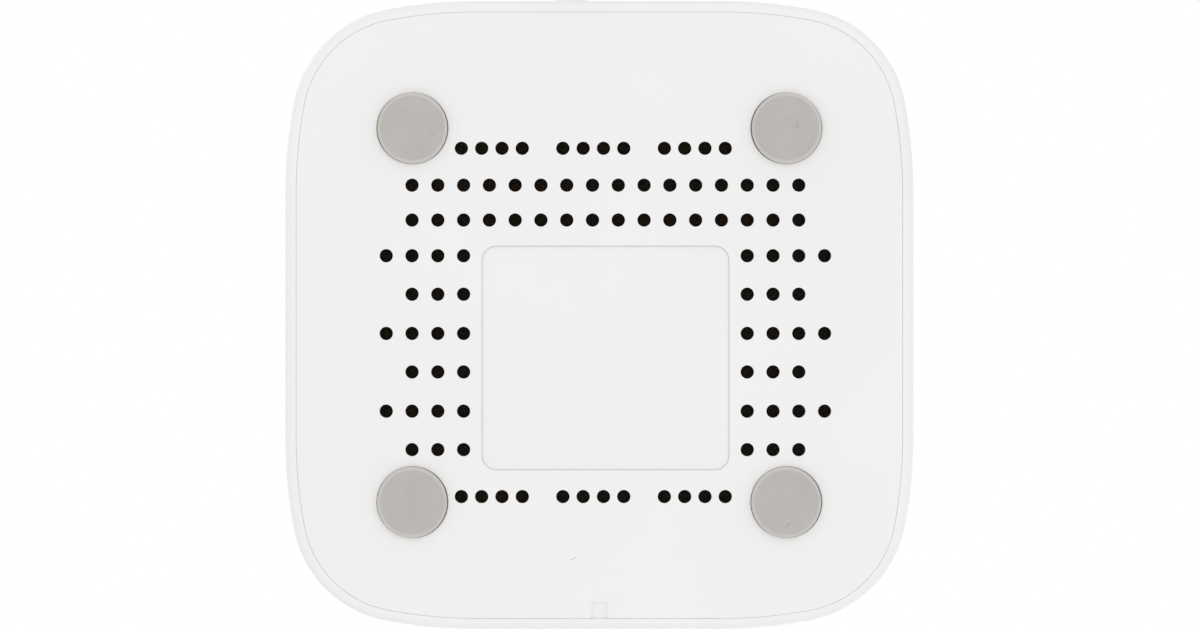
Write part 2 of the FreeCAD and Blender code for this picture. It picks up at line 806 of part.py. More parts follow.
def make_main_board():
    """The board, with cut corners and a tab that reaches the rear wall at the sockets."""
    body = new_body("main_board")
    outline = sketch_on(body, "XY_Plane", "boardUnderside", "board_outline")
    cut = "boardHalf - boardCornerCut"
    add_polygon(outline, [
        (f"-({cut})", "-boardHalf"),
        (cut, "-boardHalf"),
        ("boardHalf", f"-({cut})"),
        ("boardHalf", cut),
        (cut, "boardHalf"),
        ("boardTabWidth / 2", "boardHalf"),
        ("boardTabWidth / 2", "boardRear"),
        ("-boardTabWidth / 2", "boardRear"),
        ("-boardTabWidth / 2", "boardHalf"),
        (f"-({cut})", "boardHalf"),
        ("-boardHalf", cut),
        ("-boardHalf", f"-({cut})"),
    ])
    pad(body, outline, "boardThickness")
    holes = sketch_on(body, "XY_Plane", "boardUnderside", "screw_holes")
    for side_x in (-1, 1):
        for side_y in (-1, 1):
            add_many_sided(holes, f"{side_x} * bossX", f"{side_y} * bossY",
                           "screwDiameter + 2 * boardHoleGap")
    pocket(body, holes, "boardThickness", reverse=True)
    return body


def make_board_screws():
    """Four pan-head screws that enter the bosses from below the board."""
    screws = []
    for k, (side_x, side_y) in enumerate(((1, 1), (-1, 1), (-1, -1), (1, -1)), start=1):
        x = f"{side_x} * bossX"
        y = f"{side_y} * bossY"
        head = small_post(f"head_{k}", x, y, "boardUnderside - screwHeadHeight",
                          "screwHeadDiameter", "screwHeadHeight")
        shank = small_post(f"shank_{k}", x, y, "boardUnderside", "screwDiameter", "screwLength")
        screws.append(combine("Part::MultiFuse", f"screw_{k}", head, shank))
    return combine("Part::Compound", "board_screws", *screws)


# Network socket

def make_jack_shield():
    """The folded steel can of the network socket, open to the rear of the gateway and below."""
    outer = block("jack_can", "jackX", "jackFace - jackDepth / 2", "boardTop",
                  "jackWidth", "jackDepth", "jackHeight")
    inner = block("jack_hollow", "jackX", "jackFace - jackDepth / 2 + jackSheet", "boardTop - jackSheet",
                  "jackWidth - 2 * jackSheet", "jackDepth", "jackHeight")
    return combine("Part::Cut", "ethernet_jack_shield", outer, inner)


def plug_profile():
    """Half the plug opening from its middle: the plug, the latch below it and the latch's neck."""
    latch = "plugBottom - latchHeight"
    neck = f"{latch} - latchNeckHeight"
    half = [
        ("plugWidth / 2", "plugTop"),
        ("plugWidth / 2", "plugBottom"),
        ("latchWidth / 2", "plugBottom"),
        ("latchWidth / 2", latch),
        ("latchNeckWidth / 2", latch),
        ("latchNeckWidth / 2", neck),
    ]
    right = [(f"jackX + {x}", z) for x, z in half]
    left = [(f"jackX - {x}", z) for x, z in reversed(half)]
    return right + left


def make_jack_insert():
    """The moulded insert, with the stepped plug opening and a slot over it for the contacts."""
    body = new_body("ethernet_jack_insert")
    block_sketch = sketch_on(body, "XZ_Plane", "-insertFront", "insert_block")
    half = "(jackWidth / 2 - insertInset)"
    add_rectangle(block_sketch, f"jackX - {half}", f"jackX + {half}", "boardTop", "jackTop - insertInset")
    pad(body, block_sketch, "jackDepth - 2 * insertInset")
    opening = sketch_on(body, "XZ_Plane", "-insertFront", "plug_opening")
    add_polygon(opening, plug_profile())
    pocket(body, opening, "plugDepth", reverse=True)
    slot = sketch_on(body, "XZ_Plane", "contactSlotFront - insertFront", "contact_slot")
    slot_half = f"contactPitch * {PLUG_CONTACTS} / 2"
    add_rectangle(slot, f"jackX - {slot_half}", f"jackX + {slot_half}",
                  "plugTop - contactSlotDrop", "plugTop + contactThickness * 2")
    pocket(body, slot, "plugDepth - contactSlotFront", reverse=True)
    return body


def make_jack_contacts():
    """Eight bent wires that slope down from the slot's front into the plug opening."""
    wires = []
    front = "insertFront - contactSlotFront - jackFit"
    back = "insertFront - plugDepth"
    top = "plugTop + contactThickness * 2"
    bend = f"{back} + contactDrop"
    for k in range(PLUG_CONTACTS):
        body = new_body(f"contact_{k + 1}")
        x = f"jackX + contactPitch * {k - (PLUG_CONTACTS - 1) / 2}"
        path = sketch_on(body, "YZ_Plane", x, "contact_profile")
        add_polygon(path, [
            (back, f"{top} - contactThickness"),
            (f"{bend} + contactBend", f"{top} - contactThickness"),
            (f"{back} + contactThickness", f"{top} - contactDrop"),
            (f"{back} + contactThickness * 3", f"{top} - contactDrop - contactThickness"),
            (f"{front}", f"{top} - contactThickness"),
            (f"{front}", top),
            (back, top),
        ])
        pad(body, path, "contactWidth", middle=True)
        wires.append(body)
    return combine("Part::Compound", "ethernet_jack_contacts", *wires)


# Power socket

def usb_outline(sketch, inset):
    """The socket's section: a box whose lower corners are cut away."""
    left = f"usbX - usbWidth / 2 + {inset}"
    right = f"usbX + usbWidth / 2 - {inset}"
    low = f"boardTop + {inset}"
    high = f"usbTop - {inset}"
    add_polygon(sketch, [
        (f"{left} + usbCornerCut", low),
        (f"{right} - usbCornerCut", low),
        (right, f"{low} + usbCornerCut"),
        (right, high),
        (left, high),
        (left, f"{low} + usbCornerCut"),
    ])


def make_usb_shield():
    """The steel shell of the power socket, closed at its inner end."""
    body = new_body("usb_socket_shield")
    outside = sketch_on(body, "XZ_Plane", "-usbFace", "usb_outside")
    usb_outline(outside, "0")
    pad(body, outside, "usbDepth")
    inside = sketch_on(body, "XZ_Plane", "-usbFace", "usb_inside")
    usb_outline(inside, "usbSheet")
    pocket(body, inside, "usbDepth - usbSheet", reverse=True)
    return body


def make_usb_tongue():
    """The insulating tongue, joined to a block at the inner end of the shell."""
    back = "usbFace - usbDepth + usbSheet"
    tongue = block("tongue_blade", "usbX", f"{back} + tongueLength / 2", "usbMiddle",
                   "tongueWidth", "tongueLength", "tongueThickness")
    heel = block("tongue_heel", "usbX", f"{back} + tongueHeel / 2", "boardTop + usbSheet",
                 "usbWidth - 2 * usbSheet - 2 * usbCornerCut", "tongueHeel", "usbHeight - 2 * usbSheet")
    return combine("Part::MultiFuse", "usb_socket_tongue", tongue, heel)


def make_usb_contacts():
    """Five flat contacts under the tongue."""
    middle = "usbFace - usbDepth + usbSheet + tongueHeel + usbContactLength / 2"
    strips = []
    for k in range(USB_CONTACTS):
        x = f"usbX + usbContactPitch * {k - (USB_CONTACTS - 1) / 2}"
        strips.append(block(f"usb_contact_{k + 1}", x, middle, "usbMiddle - usbContactThickness",
                            "usbContactWidth", "usbContactLength", "usbContactThickness"))
    return combine("Part::Compound", "usb_socket_contacts", *strips)


# Reset button

def make_reset_button():
    """The cap, turned about its axis: a shallow dome in two flats and a small crown, the shank
    through the wall, a flange behind the wall and a stem to the switch."""
    body = new_body("reset_button")
    profile = sketch_on(body, "YZ_Plane", "0", "cap_profile")
    add_polygon(profile, [
        ("stemEnd", "0"),
        ("halfWidth + buttonDome", "0"),
        ("halfWidth + buttonDome", "crownDiameter / 2"),
        ("halfWidth + shoulderRise", "shoulderDiameter / 2"),
        ("halfWidth", "buttonDiameter / 2"),
        ("flangeFront", "buttonDiameter / 2"),
        ("flangeFront", "flangeDiameter / 2"),
        ("flangeBack", "flangeDiameter / 2"),
        ("flangeBack", "stemDiameter / 2"),
        ("stemEnd", "stemDiameter / 2"),
    ])
    turn = body.newObject("PartDesign::Revolution", "Revolution")
    turn.Profile = profile
    turn.ReferenceAxis = (profile, ["H_Axis"])
    turn.Angle = 360
    body.Tip = turn
    doc.recompute()
    return at(body, "buttonX", "0", "buttonZ")


def make_switch_body():
    """The switch's moulded block, with a round well for the plunger."""
    block_part = block("switch_block", "buttonX", "switchFront - switchBodyDepth / 2",
                       "buttonZ - switchBodyWidth / 2", "switchBodyWidth", "switchBodyDepth",
                       "switchBodyWidth")
    well = rod_backwards("switch_well", "buttonX", "switchFront - switchBodyDepth / 2", "buttonZ",
                         "plungerDiameter + 2 * plungerGap", "switchBodyDepth")
    return combine("Part::Cut", "reset_switch_body", block_part, well)


def make_switch_plunger():
    """The plunger, which meets the button's stem."""
    depth = "switchBodyDepth / 2 - switchTravel - plungerGap"
    length = f"stemEnd - switchFront + ({depth})"
    return rod_backwards("reset_switch_plunger", "buttonX", f"switchFront - ({depth})", "buttonZ",
                         "plungerDiameter", length)


def make_switch_frame():
    """The bent steel frame that holds the switch upright and stands on the board."""
    low = "buttonZ - switchBodyWidth / 2"
    face = block("frame_face", "buttonX", "switchFront + switchSheet / 2", low,
                 "switchBodyWidth + 2 * switchSheet", "switchSheet", "switchBodyWidth")
    legs = []
    for side in (-1, 1):
        legs.append(block(f"frame_leg_{side + 2}",
                          f"buttonX + {side} * (switchBodyWidth + switchSheet) / 2",
                          "switchFront - switchBodyDepth / 2 + switchSheet / 2", "boardTop",
                          "switchSheet", "switchBodyDepth + switchSheet",
                          f"{low} + switchBodyWidth - boardTop"))
    frame = combine("Part::MultiFuse", "frame_blank", face, *legs)
    hole = rod_backwards("frame_hole", "buttonX", "switchFront - switchSheet", "buttonZ",
                         "plungerDiameter + 4 * plungerGap", "switchSheet * 3")
    return combine("Part::Cut", "reset_switch_frame", frame, hole)


# Lights

def make_light_guide():
    """One clear moulding: a bar against the roof, lenses through the roof, pipes to the diodes."""
    body = new_body("light_guide")
    bar = sketch_on(body, "XY_Plane", "guideBottom", "guide_bar")
    add_rectangle(bar, "-lightPitch - guideBarWidth / 2", "lightPitch + guideBarWidth / 2",
                  "lightY - guideBarWidth / 2", "lightY + guideBarWidth / 2")
    pad(body, bar, "guideBarThickness")
    lenses = sketch_on(body, "XY_Plane", "roofUnderside", "lens_circles")
    pipes = sketch_on(body, "XY_Plane", "guideBottom", "pipe_circles")
    for place in LIGHTS:
        add_many_sided(lenses, f"{place} * lightPitch", "lightY", "lensDiameter")
        add_many_sided(pipes, f"{place} * lightPitch", "lightY", "pipeDiameter")
    pad(body, lenses, "roofThickness")
    pad(body, pipes, "guideBottom - diodeTop - pipeGap", reverse=True)
    return body


def make_indicator_leds():
    diodes = []
    for place in LIGHTS:
        diodes.append(block(f"diode_{place + 2}", f"{place} * lightPitch", "lightY", "boardTop",
                            "diodeWidth", "diodeLength", "diodeHeight"))
    return combine("Part::Compound", "indicator_leds", *diodes)


# Board parts

def package(label, x, y, z, width, length, height):
    """A moulded package with bevelled upper edges."""
    body = new_body(label)
    base = sketch_on(body, "XY_Plane", z, "package_base")
    add_rectangle(base, f"({x}) - ({width}) / 2", f"({x}) + ({width}) / 2",
                  f"({y}) - ({length}) / 2", f"({y}) + ({length}) / 2")
    pad(body, base, height)
    bevel(body, "packageBevel", f"({z}) + ({height})")
    return body


def make_module():
    """The radio module: its board, the can over its chip, and a meander aerial beside the can."""
    board = block("zigbee_module_board", "moduleX", "moduleY", "boardTop",
                  "moduleWidth", "moduleLength", "moduleThickness")
    can_y = "moduleY - moduleLength / 2 + canLength / 2 + canMargin"
    can = package("zigbee_module_shield", "moduleX", can_y, "moduleTop",
                  "canWidth", "canLength", "canHeight")
    antenna = new_body("zigbee_module_antenna")
    trace = sketch_on(antenna, "XY_Plane", "moduleTop", "antenna_trace")
    add_polygon(trace, antenna_corners())
    pad(antenna, trace, "antennaThickness")
    return [board, can, antenna]


def antenna_corners():
    """Corners round a square wave: out along its left side and back along its right side."""
    low = "moduleY + moduleLength / 2 - antennaHeight - antennaMargin"
    high = "moduleY + moduleLength / 2 - antennaMargin"
    half = "antennaTrace / 2"
    ahead = []
    behind = []
    for k in range(ANTENNA_WAVES):
        rise = f"moduleX + antennaPitch * {2 * k + 0.5 - ANTENNA_WAVES}"
        fall = f"moduleX + antennaPitch * {2 * k + 1.5 - ANTENNA_WAVES}"
        ahead += [(f"{rise} - {half}", f"{low} + {half}"), (f"{rise} - {half}", f"{high} + {half}"),
                  (f"{fall} + {half}", f"{high} + {half}"), (f"{fall} + {half}", f"{low} + {half}")]
        behind += [(f"{rise} + {half}", f"{low} - {half}"), (f"{rise} + {half}", f"{high} - {half}"),
                   (f"{fall} - {half}", f"{high} - {half}"), (f"{fall} - {half}", f"{low} - {half}")]
    behind[0] = (f"{behind[0][0]}", f"{low} + {half}")
    ahead[-1] = (f"{ahead[-1][0]}", f"{low} - {half}")
    return ahead + behind[::-1]


def pair(label, word, make):
    """Two like parts in one node, at the places that the sizes give for the first and the second."""
    members = [make(f"{label}_{count}", f"{word}{count}X", f"{word}{count}Y") for count in ("One", "Two")]
    return combine("Part::Compound", label, *members)


def make_board_parts():
    """Chips, magnetics and passive parts on the board's upper side."""
    processor = package("processor_chip", "processorX", "processorY", "boardTop",
                        "processorWidth", "processorWidth", "processorHeight")
    flash = package("flash_chip", "flashX", "flashY", "boardTop", "flashWidth", "flashWidth", "flashHeight")
    transformer = package("ethernet_transformer", "jackX", "transformerY", "boardTop",
                          "transformerWidth", "transformerLength", "transformerHeight")
    crystals = combine(
        "Part::Compound", "crystals",
        package("crystal_1", "crystalOneX", "crystalOneY", "boardTop",
                "crystalLength", "crystalWidth", "crystalHeight"),
        package("crystal_2", "crystalTwoX", "crystalTwoY", "boardTop",
                "crystalWidth", "crystalLength", "crystalHeight"),
    )
    inductors = pair("power_inductors", "inductor", lambda label, x, y: package(
        label, x, y, "boardTop", "inductorWidth", "inductorWidth", "inductorHeight"))
    regulators = pair("power_regulators", "regulator", lambda label, x, y: package(
        label, x, y, "boardTop", "regulatorWidth", "regulatorLength", "regulatorHeight"))
    cans = pair("bulk_capacitors", "canCap", lambda label, x, y: small_post(
        label, x, y, "boardTop", "canCapDiameter", "canCapHeight"))
    chips = []
    for k in range(CHIP_CAPACITORS):
        x = f"processorX + chipCapPitch * {k - (CHIP_CAPACITORS - 1) / 2}"
        chips.append(block(f"chip_capacitor_{k + 1}", x, "chipCapY", "boardTop",
                           "chipCapWidth", "chipCapLength", "chipCapHeight"))
    ceramics = combine("Part::Compound", "ceramic_capacitors", *chips)
    return [processor, flash, transformer, crystals, inductors, regulators, cans, ceramics]


def build_all():
    fill_sheet()
    nodes = [make_top_shell(), make_base_plate()]
    nodes += make_feet()
    nodes += [make_main_board(), make_board_screws()]
    nodes += [make_jack_shield(), make_jack_insert(), make_jack_contacts()]
    nodes += [make_usb_shield(), make_usb_tongue(), make_usb_contacts()]
    nodes += [make_reset_button(), make_switch_body(), make_switch_plunger(), make_switch_frame()]
    nodes += [make_light_guide(), make_indicator_leds()]
    nodes += make_module()
    nodes += make_board_parts()
    doc.recompute()
    return nodes


def check_document(nodes):
    """Stop if a feature failed or a node's shape is empty or broken."""
    for item in doc.Objects:
        if "Invalid" in item.State or "Error" in item.State:
            raise RuntimeError(f"{item.Name} ({item.Label}) failed: {item.State}")
    for node in nodes:
        if node.Shape.isNull() or not node.Shape.isValid() or not node.Shape.Solids:
            raise RuntimeError(f"{node.Label} has no valid solid")


def write_nodes(nodes):
    os.makedirs("parts", exist_ok=True)
    for node in nodes:
        node.Shape.exportStep(f"parts/{node.Label}.step")
        print(node.Label, len(node.Shape.Solids), round(node.Shape.Volume, 3))


all_nodes = build_all()
check_document(all_nodes)
write_nodes(all_nodes)
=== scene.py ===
import math

import bpy
import numpy as np
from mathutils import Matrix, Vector, geometry


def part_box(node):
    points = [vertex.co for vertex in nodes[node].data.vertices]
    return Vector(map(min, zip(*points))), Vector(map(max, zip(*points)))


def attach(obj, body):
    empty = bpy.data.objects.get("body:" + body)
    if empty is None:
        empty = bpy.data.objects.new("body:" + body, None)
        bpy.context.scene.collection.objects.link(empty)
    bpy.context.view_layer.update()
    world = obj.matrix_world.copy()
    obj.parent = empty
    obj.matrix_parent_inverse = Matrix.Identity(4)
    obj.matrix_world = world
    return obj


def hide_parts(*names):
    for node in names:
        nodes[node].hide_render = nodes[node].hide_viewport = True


# A square wired gateway on four rubber feet, seen from below as it lies in the photograph.
# Shapes are worked out in millimetres and turned into metres when a mesh is made.

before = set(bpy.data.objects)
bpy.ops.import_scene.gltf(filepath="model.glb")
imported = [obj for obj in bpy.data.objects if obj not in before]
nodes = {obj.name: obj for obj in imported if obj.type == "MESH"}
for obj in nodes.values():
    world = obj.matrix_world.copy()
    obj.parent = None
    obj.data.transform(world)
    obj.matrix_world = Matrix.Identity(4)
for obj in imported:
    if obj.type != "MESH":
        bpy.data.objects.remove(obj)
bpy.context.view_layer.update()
metre = 1000.0          # in millimetres
touching = 1e-6         # millimetres: points that are nearer than this count as one
edgeSteps = 4           # faces across a small rounded edge
circleSteps = 40        # sides of a small circle
wideSteps = 72          # sides of a foot, its recess and the button
print("frame:", len(nodes), "pieces")


def nodeBox(name):
    # The lowest and the highest corner of a frame piece
    low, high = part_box(name)
    return np.array(low) * metre, np.array(high) * metre


def nodeMiddle(name):
    low, high = nodeBox(name)
    return (low + high) / 2


# Outlines: each is a closed row of points with the outward direction at every point

def arc(centre, radius, start, end, steps=edgeSteps):
    # Point = centre + radius times direction, and the direction turns evenly from start to end, in
    # degrees. It is also the outward normal, so a negative radius makes a hollow corner.
    turn = np.radians(np.linspace(start, end, steps + 1))
    normals = np.stack([np.cos(turn), np.sin(turn)], axis=1)
    return np.asarray(centre, float) + radius * normals, normals


def closedPath(*parts):
    # The parts one after another, without the points that repeat where two parts meet
    points, normals = np.concatenate(parts, axis=1)
    step = np.linalg.norm(points - np.roll(points, 1, axis=0), axis=1)
    keep = step > touching
    return points[keep], normals[keep]


def circlePath(centre, radius, steps=circleSteps):
    # A full arc without its last point, which is the first one again. With no radius it is an axis
    points, normals = arc(centre, radius, 0, 360, steps)
    return points[:-1], normals[:-1]


def roundedBox(centre, width, length, radius, steps=6):
    # Four quarter arcs; the straight sides are the steps between them
    halfX, halfY = width / 2 - radius, length / 2 - radius
    corners = [(halfX, halfY), (-halfX, halfY), (-halfX, -halfY), (halfX, -halfY)]
    return closedPath(*[arc(np.add(centre, corner), radius, 90 * k, 90 * k + 90, steps)
                        for k, corner in enumerate(corners)])


def quarterTurn(quarters):
    # The matrix that turns rows of points by so many right angles
    c, s = ((1, 0), (0, 1), (-1, 0), (0, -1))[quarters % 4]
    return np.array([[c, s], [-s, c]], float)


def outwards(path, distance):
    # The outline's points, each moved along its normal
    return path[0] + distance * path[1]


def straight(start, end, normal):
    # Two points that share a normal
    return np.array([start, end], float), np.array([normal, normal], float)


# Skins: patches of surface with their own normals, gathered into one closed mesh

raysAtOnce = 2000       # spots that are tested together, to keep the arrays small
weldsInMillimetre = 1e5
weldShift = 0.137       # keeps round values away from the middle between two welds


def crossings(spots, starts, ends):
    # How many edges a ray to the right meets, for each spot
    counts = np.zeros(len(spots), int)
    for block in np.array_split(np.arange(len(spots)), max(1, len(spots) // raysAtOnce)):
        x, y = spots[block, 0, None], spots[block, 1, None]
        above = (starts[:, 1] > y) != (ends[:, 1] > y)
        rise = ends[:, 1] - starts[:, 1]
        rise = np.where(rise == 0, 1, rise)
        meet = starts[:, 0] + (y - starts[:, 1]) * (ends[:, 0] - starts[:, 0]) / rise
        counts[block] = (above & (meet > x)).sum(axis=1)
    return counts


def triangulated(loops, inside=None):
    # Triangles of the region within the first loop and outside the others: those whose centre has an
    # odd number of edges to its right
    points = np.concatenate(loops + ([] if inside is None else [inside]))
    rings = np.split(np.arange(len(points)), np.cumsum([len(loop) for loop in loops]))[:len(loops)]
    edges = np.concatenate([np.stack([ring, np.roll(ring, -1)], axis=1) for ring in rings])
    spots = [Vector(point) for point in points.tolist()]
    found = geometry.delaunay_2d_cdt(spots, edges.tolist(), [], 0, touching, True)
    source = np.array([same[0] for same in found[3]])
    faces = source[np.array(found[2])]
    centres = points[faces].mean(axis=1)
    odd = crossings(centres, points[edges[:, 0]], points[edges[:, 1]]) % 2 == 1
    return points, faces[odd]


def linked(name, data):
    # A new object in the scene
    made = bpy.data.objects.new(name, data)
    bpy.context.scene.collection.objects.link(made)
    return made


def asDrawn(points, normals):
    return points, normals


class Skin:
    def __init__(self, place=asDrawn):
        self.place = place
        self.points, self.normals, self.faces = [], [], []
        self.count = 0

    def patch(self, points, normals, faces):
        # Faces whose corners run against the normals are turned round
        points, normals = self.place(points, normals)
        corners = points[faces]
        across = np.cross(corners[:, 2] - corners[:, 0], corners[:, -1] - corners[:, 1])
        against = (across * normals[faces].sum(axis=1)).sum(axis=1) < 0
        faces = np.where(against[:, None], faces[:, ::-1], faces)
        self.points.append(points)
        self.normals.append(normals)
        self.faces.append(faces + self.count)
        self.count += len(points)

    def grid(self, points, normals, closed):
        # Quads between neighbouring rows and columns
        rows, columns = points.shape[:2]
        r = np.arange(rows - 1)[:, None] * columns
        c = np.arange(columns if closed else columns - 1)
        after = (c + 1) % columns
        faces = np.stack([r + c, r + after, r + columns + after, r + columns + c], axis=-1)
        self.patch(points.reshape(-1, 3), normals.reshape(-1, 3), faces.reshape(-1, 4))

    def ring(self, path, *parts, closed=True):
        # A profile carried along an outline: point = outline + offset times its normal, at a level.
        # The profile's points are offset and level, and so are its normals
        points, normals = path
        offset, level, out, rise = np.concatenate([np.hstack(part) for part in parts]).T[:, :, None, None]
        shape = (len(level), len(points), 1)
        self.grid(np.concatenate([points + offset * normals, np.broadcast_to(level, shape)], axis=2),
                  np.concatenate([out * normals, np.broadcast_to(rise, shape)], axis=2), closed)

    def flat(self, loops, level, facing):
        # A level sheet within the first loop, with the others as holes
        points, faces = triangulated(loops)
        normals = np.tile([0.0, 0.0, float(facing)], (len(points), 1))
        self.patch(np.insert(points, 2, level, axis=1), normals, faces)

    def prism(self, corners, low, high):
        # Straight sides between two like ends whose corners run anticlockwise
        corners = np.asarray(corners, float)
        self.flat([corners], low, -1)
        self.flat([corners], high, 1)
        for start, end in zip(corners, np.roll(corners, -1, axis=0)):
            out = np.array([end[1] - start[1], start[0] - end[0]])
            side = straight(start, end, out / np.linalg.norm(out))
            self.ring(side, straight((0, low), (0, high), (1, 0)), closed=False)

    def make(self, name, body, finish, replaced):
        # Points that coincide become one, so that the mesh closes; each corner keeps its own normal
        points = np.concatenate(self.points)
        normals = np.concatenate(self.normals)
        key = np.round(points * weldsInMillimetre + weldShift).astype(np.int64)
        kept, where = np.unique(key, axis=0, return_index=True, return_inverse=True)[1:]
        where = where.ravel()
        faces, corners = [], []
        for block in self.faces:
            for face in block.tolist():
                own = [k for i, k in enumerate(face) if where[k] != where[face[i - 1]]]
                if len(own) > 2:
                    faces.append([int(where[k]) for k in own])
                    corners.extend(own)
        mesh = bpy.data.meshes.new(name)
        mesh.from_pydata((points[kept] / metre).tolist(), [], faces)
        mesh.shade_smooth()
        mesh.update()
        length = np.linalg.norm(normals, axis=1, keepdims=True)
        mesh.normals_split_custom_set((normals / length)[corners].tolist())
        mesh.materials.append(finish)
        piece = linked(name, mesh)
        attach(piece, body)
        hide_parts(replaced)
        print("made", name, len(faces), "faces")


# Materials

class Field:
    # A socket in a node tree; arithmetic on it adds Math nodes
    def __init__(self, paint, socket):
        self.paint = paint
        self.socket = socket

    def __add__(self, other):
        return self.paint.maths("ADD", self, other)

    def __radd__(self, other):
        return self.paint.maths("ADD", other, self)

    def __sub__(self, other):
        return self.paint.maths("SUBTRACT", self, other)

    def __rsub__(self, other):
        return self.paint.maths("SUBTRACT", other, self)

    def __mul__(self, other):
        return self.paint.maths("MULTIPLY", self, other)

    def __rmul__(self, other):
        return self.paint.maths("MULTIPLY", other, self)

    def __abs__(self):
        return self.paint.maths("ABSOLUTE", self)


class Paint:
    # A material, or the world, being put together
    def __init__(self, owner):
        self.owner = owner
        owner.use_nodes = True
        self.tree = owner.node_tree

    def node(self, kind, settings=None, sockets=None, out=0):
        # A node with its settings, then the values or links of its sockets
        made = self.tree.nodes.new(kind)
        for name, value in (settings or {}).items():
            setattr(made, name, value)
        for name, value in (sockets or {}).items():
            self.fill(made.inputs[name], value)
        return Field(self, made.outputs[out])

    def fill(self, socket, value):
        if isinstance(value, Field):
            self.tree.links.new(value.socket, socket)
        else:
            socket.default_value = value

    def maths(self, operation, first, second=0.0):
        return self.node("ShaderNodeMath", {"operation": operation}, {0: first, 1: second})

    def most(self, *values):
        # The greatest of several values
        greatest = values[0]
        for value in values[1:]:
            greatest = self.maths("MAXIMUM", greatest, value)
        return greatest

    def reach(self, east, north):
        # The length of a step so far east and so far north
        return self.maths("POWER", east * east + north * north, 0.5)

    def place(self):
        return self.node("ShaderNodeTexCoord", out="Object")

    def mapped(self, scale, turn=0.0):
        # Places stretched along the axes, after a turn about the upright axis
        return self.node("ShaderNodeMapping", None, {
            "Vector": self.place(), "Scale": scale, "Rotation": (0, 0, turn)})

    def noise(self, size, detail=2.0, where=None):
        # A cloud from 0 to 1 whose lumps are about size metres across
        return self.node("ShaderNodeTexNoise", None, {
            "Vector": where or self.place(), "Scale": 1 / size, "Detail": detail})

    def span(self, value, low, high):
        # 0 below low, 1 above high, with a soft start and end
        return self.node("ShaderNodeMapRange", {"interpolation_type": "SMOOTHSTEP"},
                         {"Value": value, "From Min": low, "From Max": high})

    def mix(self, factor, first, second):
        return self.node("ShaderNodeMix", {"data_type": "RGBA"}, {0: factor, 6: first, 7: second}, out=2)

    def axes(self, vector):
        split = self.node("ShaderNodeSeparateXYZ", None, {0: vector}).socket.node
        return [Field(self, socket) for socket in split.outputs]

    def bump(self, height, depth):
        # Relief of that depth in metres, for a height from 0 to 1
        return self.node("ShaderNodeBump", None, {"Height": height, "Distance": depth})

    def surface(self, **values):
        # The surface shader's own sockets, by their names with underscores for spaces
        shader = self.tree.nodes["Principled BSDF"]
        for name, value in values.items():
            self.fill(shader.inputs[name.replace("_", " ")], value)


def shade(*screen):
    # A colour as a screen shows it, from 0 to 255, as the shader's linear values and an alpha of 1
    levels = [value / 255 for value in screen]
    return tuple(v / 12.92 if v <= 0.04045 else ((v + 0.055) / 1.055) ** 2.4 for v in levels) + (1.0,)


def newPaint(name):
    return Paint(bpy.data.materials.new(name))


# Photographed marks, in the frame's millimetres: scuffs on three feet, a faint scratch on the base and
# warmer places of the board, each with x, y, length, width and a turn in degrees, and the label recess's
# edge, where a band of painted shade darkens the base
marks = {
    "scuffs": ((23.9, 25.95, 1.1, 0.3, 4), (-28.3, 27.4, 1.0, 0.28, 39), (-28.3, 26.9, 0.9, 0.28, -36),
               (-26.95, -29.95, 1.5, 0.3, 130)),
    "scratches": ((3.7, -34.8, 1.5, 0.26, 152),),
    "warmer": ((15.8, 18.6, 34, 6, 0), (-17.4, 13.7, 24, 6, 0), (15.4, -26.0, 14, 6, 0)),
    # a band of painted shade along the label recess's edge
    "recessShade": {"x": -0.87, "y": -6.12, "width": 35.34, "length": 32.0, "radius": 2.05, "reach": 0.13},
    "wobbleSize": 0.0008, "wobble": 0.8, "solid": 0.45,
}


def markOn(paint, x, y, length, width, turn):
    # A soft streak: a stretched round spot with an uneven edge, 1 in its middle
    across = paint.axes(paint.node("ShaderNodeMapping", {"vector_type": "TEXTURE"}, {
        "Vector": paint.place(), "Location": (x / metre, y / metre, 0),
        "Rotation": (0, 0, math.radians(turn)), "Scale": (length / metre / 2, width / metre / 2, 1)}))
    wobble = (paint.noise(marks["wobbleSize"]) - 0.5) * marks["wobble"]
    return 1 - paint.span(paint.reach(*across[:2]) + wobble, marks["solid"], 1.0)


def edgeOf(paint, x, y, width, length, radius, reach):
    # 1 on a rounded rectangle's outline, 0 beyond reach from it. The distance to the outline is that
    # to the rectangle between the corner arcs' centres, less the arcs' radius
    east, north = paint.axes(paint.place())[:2]
    overX = abs(east - x / metre) - (width / 2 - radius) / metre
    overY = abs(north - y / metre) - (length / 2 - radius) / metre
    within = paint.maths("MINIMUM", paint.most(overX, overY), 0.0)
    distance = paint.reach(paint.most(overX, 0.0), paint.most(overY, 0.0)) + within - radius / metre
    return 1 - paint.span(abs(distance), 0.0, reach / metre)


# In the finishes sizes and depths are in metres, a band is where a mask starts and ends, a share is
# how much of a tone is mixed in, and a gloss is added to the roughness

moulding = {
    "tone": shade(243, 243, 243), "dimTone": shade(241, 241, 241), "roughness": 0.46, "cloudSize": 0.03,
    "cloudBand": (0.3, 0.7), "cloudGloss": 0.10, "grainSize": 0.00028, "grainDepth": 0.000006,
    "hairStretch": (60, 2600, 300), "hairTurns": (0.5, 2.2), "hairBand": (0.70, 0.78), "hairShare": 0.15,
    "hairTone": shade(222, 221, 219), "hairGloss": 0.12, "hairDepth": 0.8,
    "rubSize": 0.012, "rubBand": (0.52, 0.68), "markShare": 0.7, "scratchTone": shade(205, 204, 202),
    # the next tone is painted shade for a recess's edge
    "paintedShadeTone": shade(196, 195, 193),
}


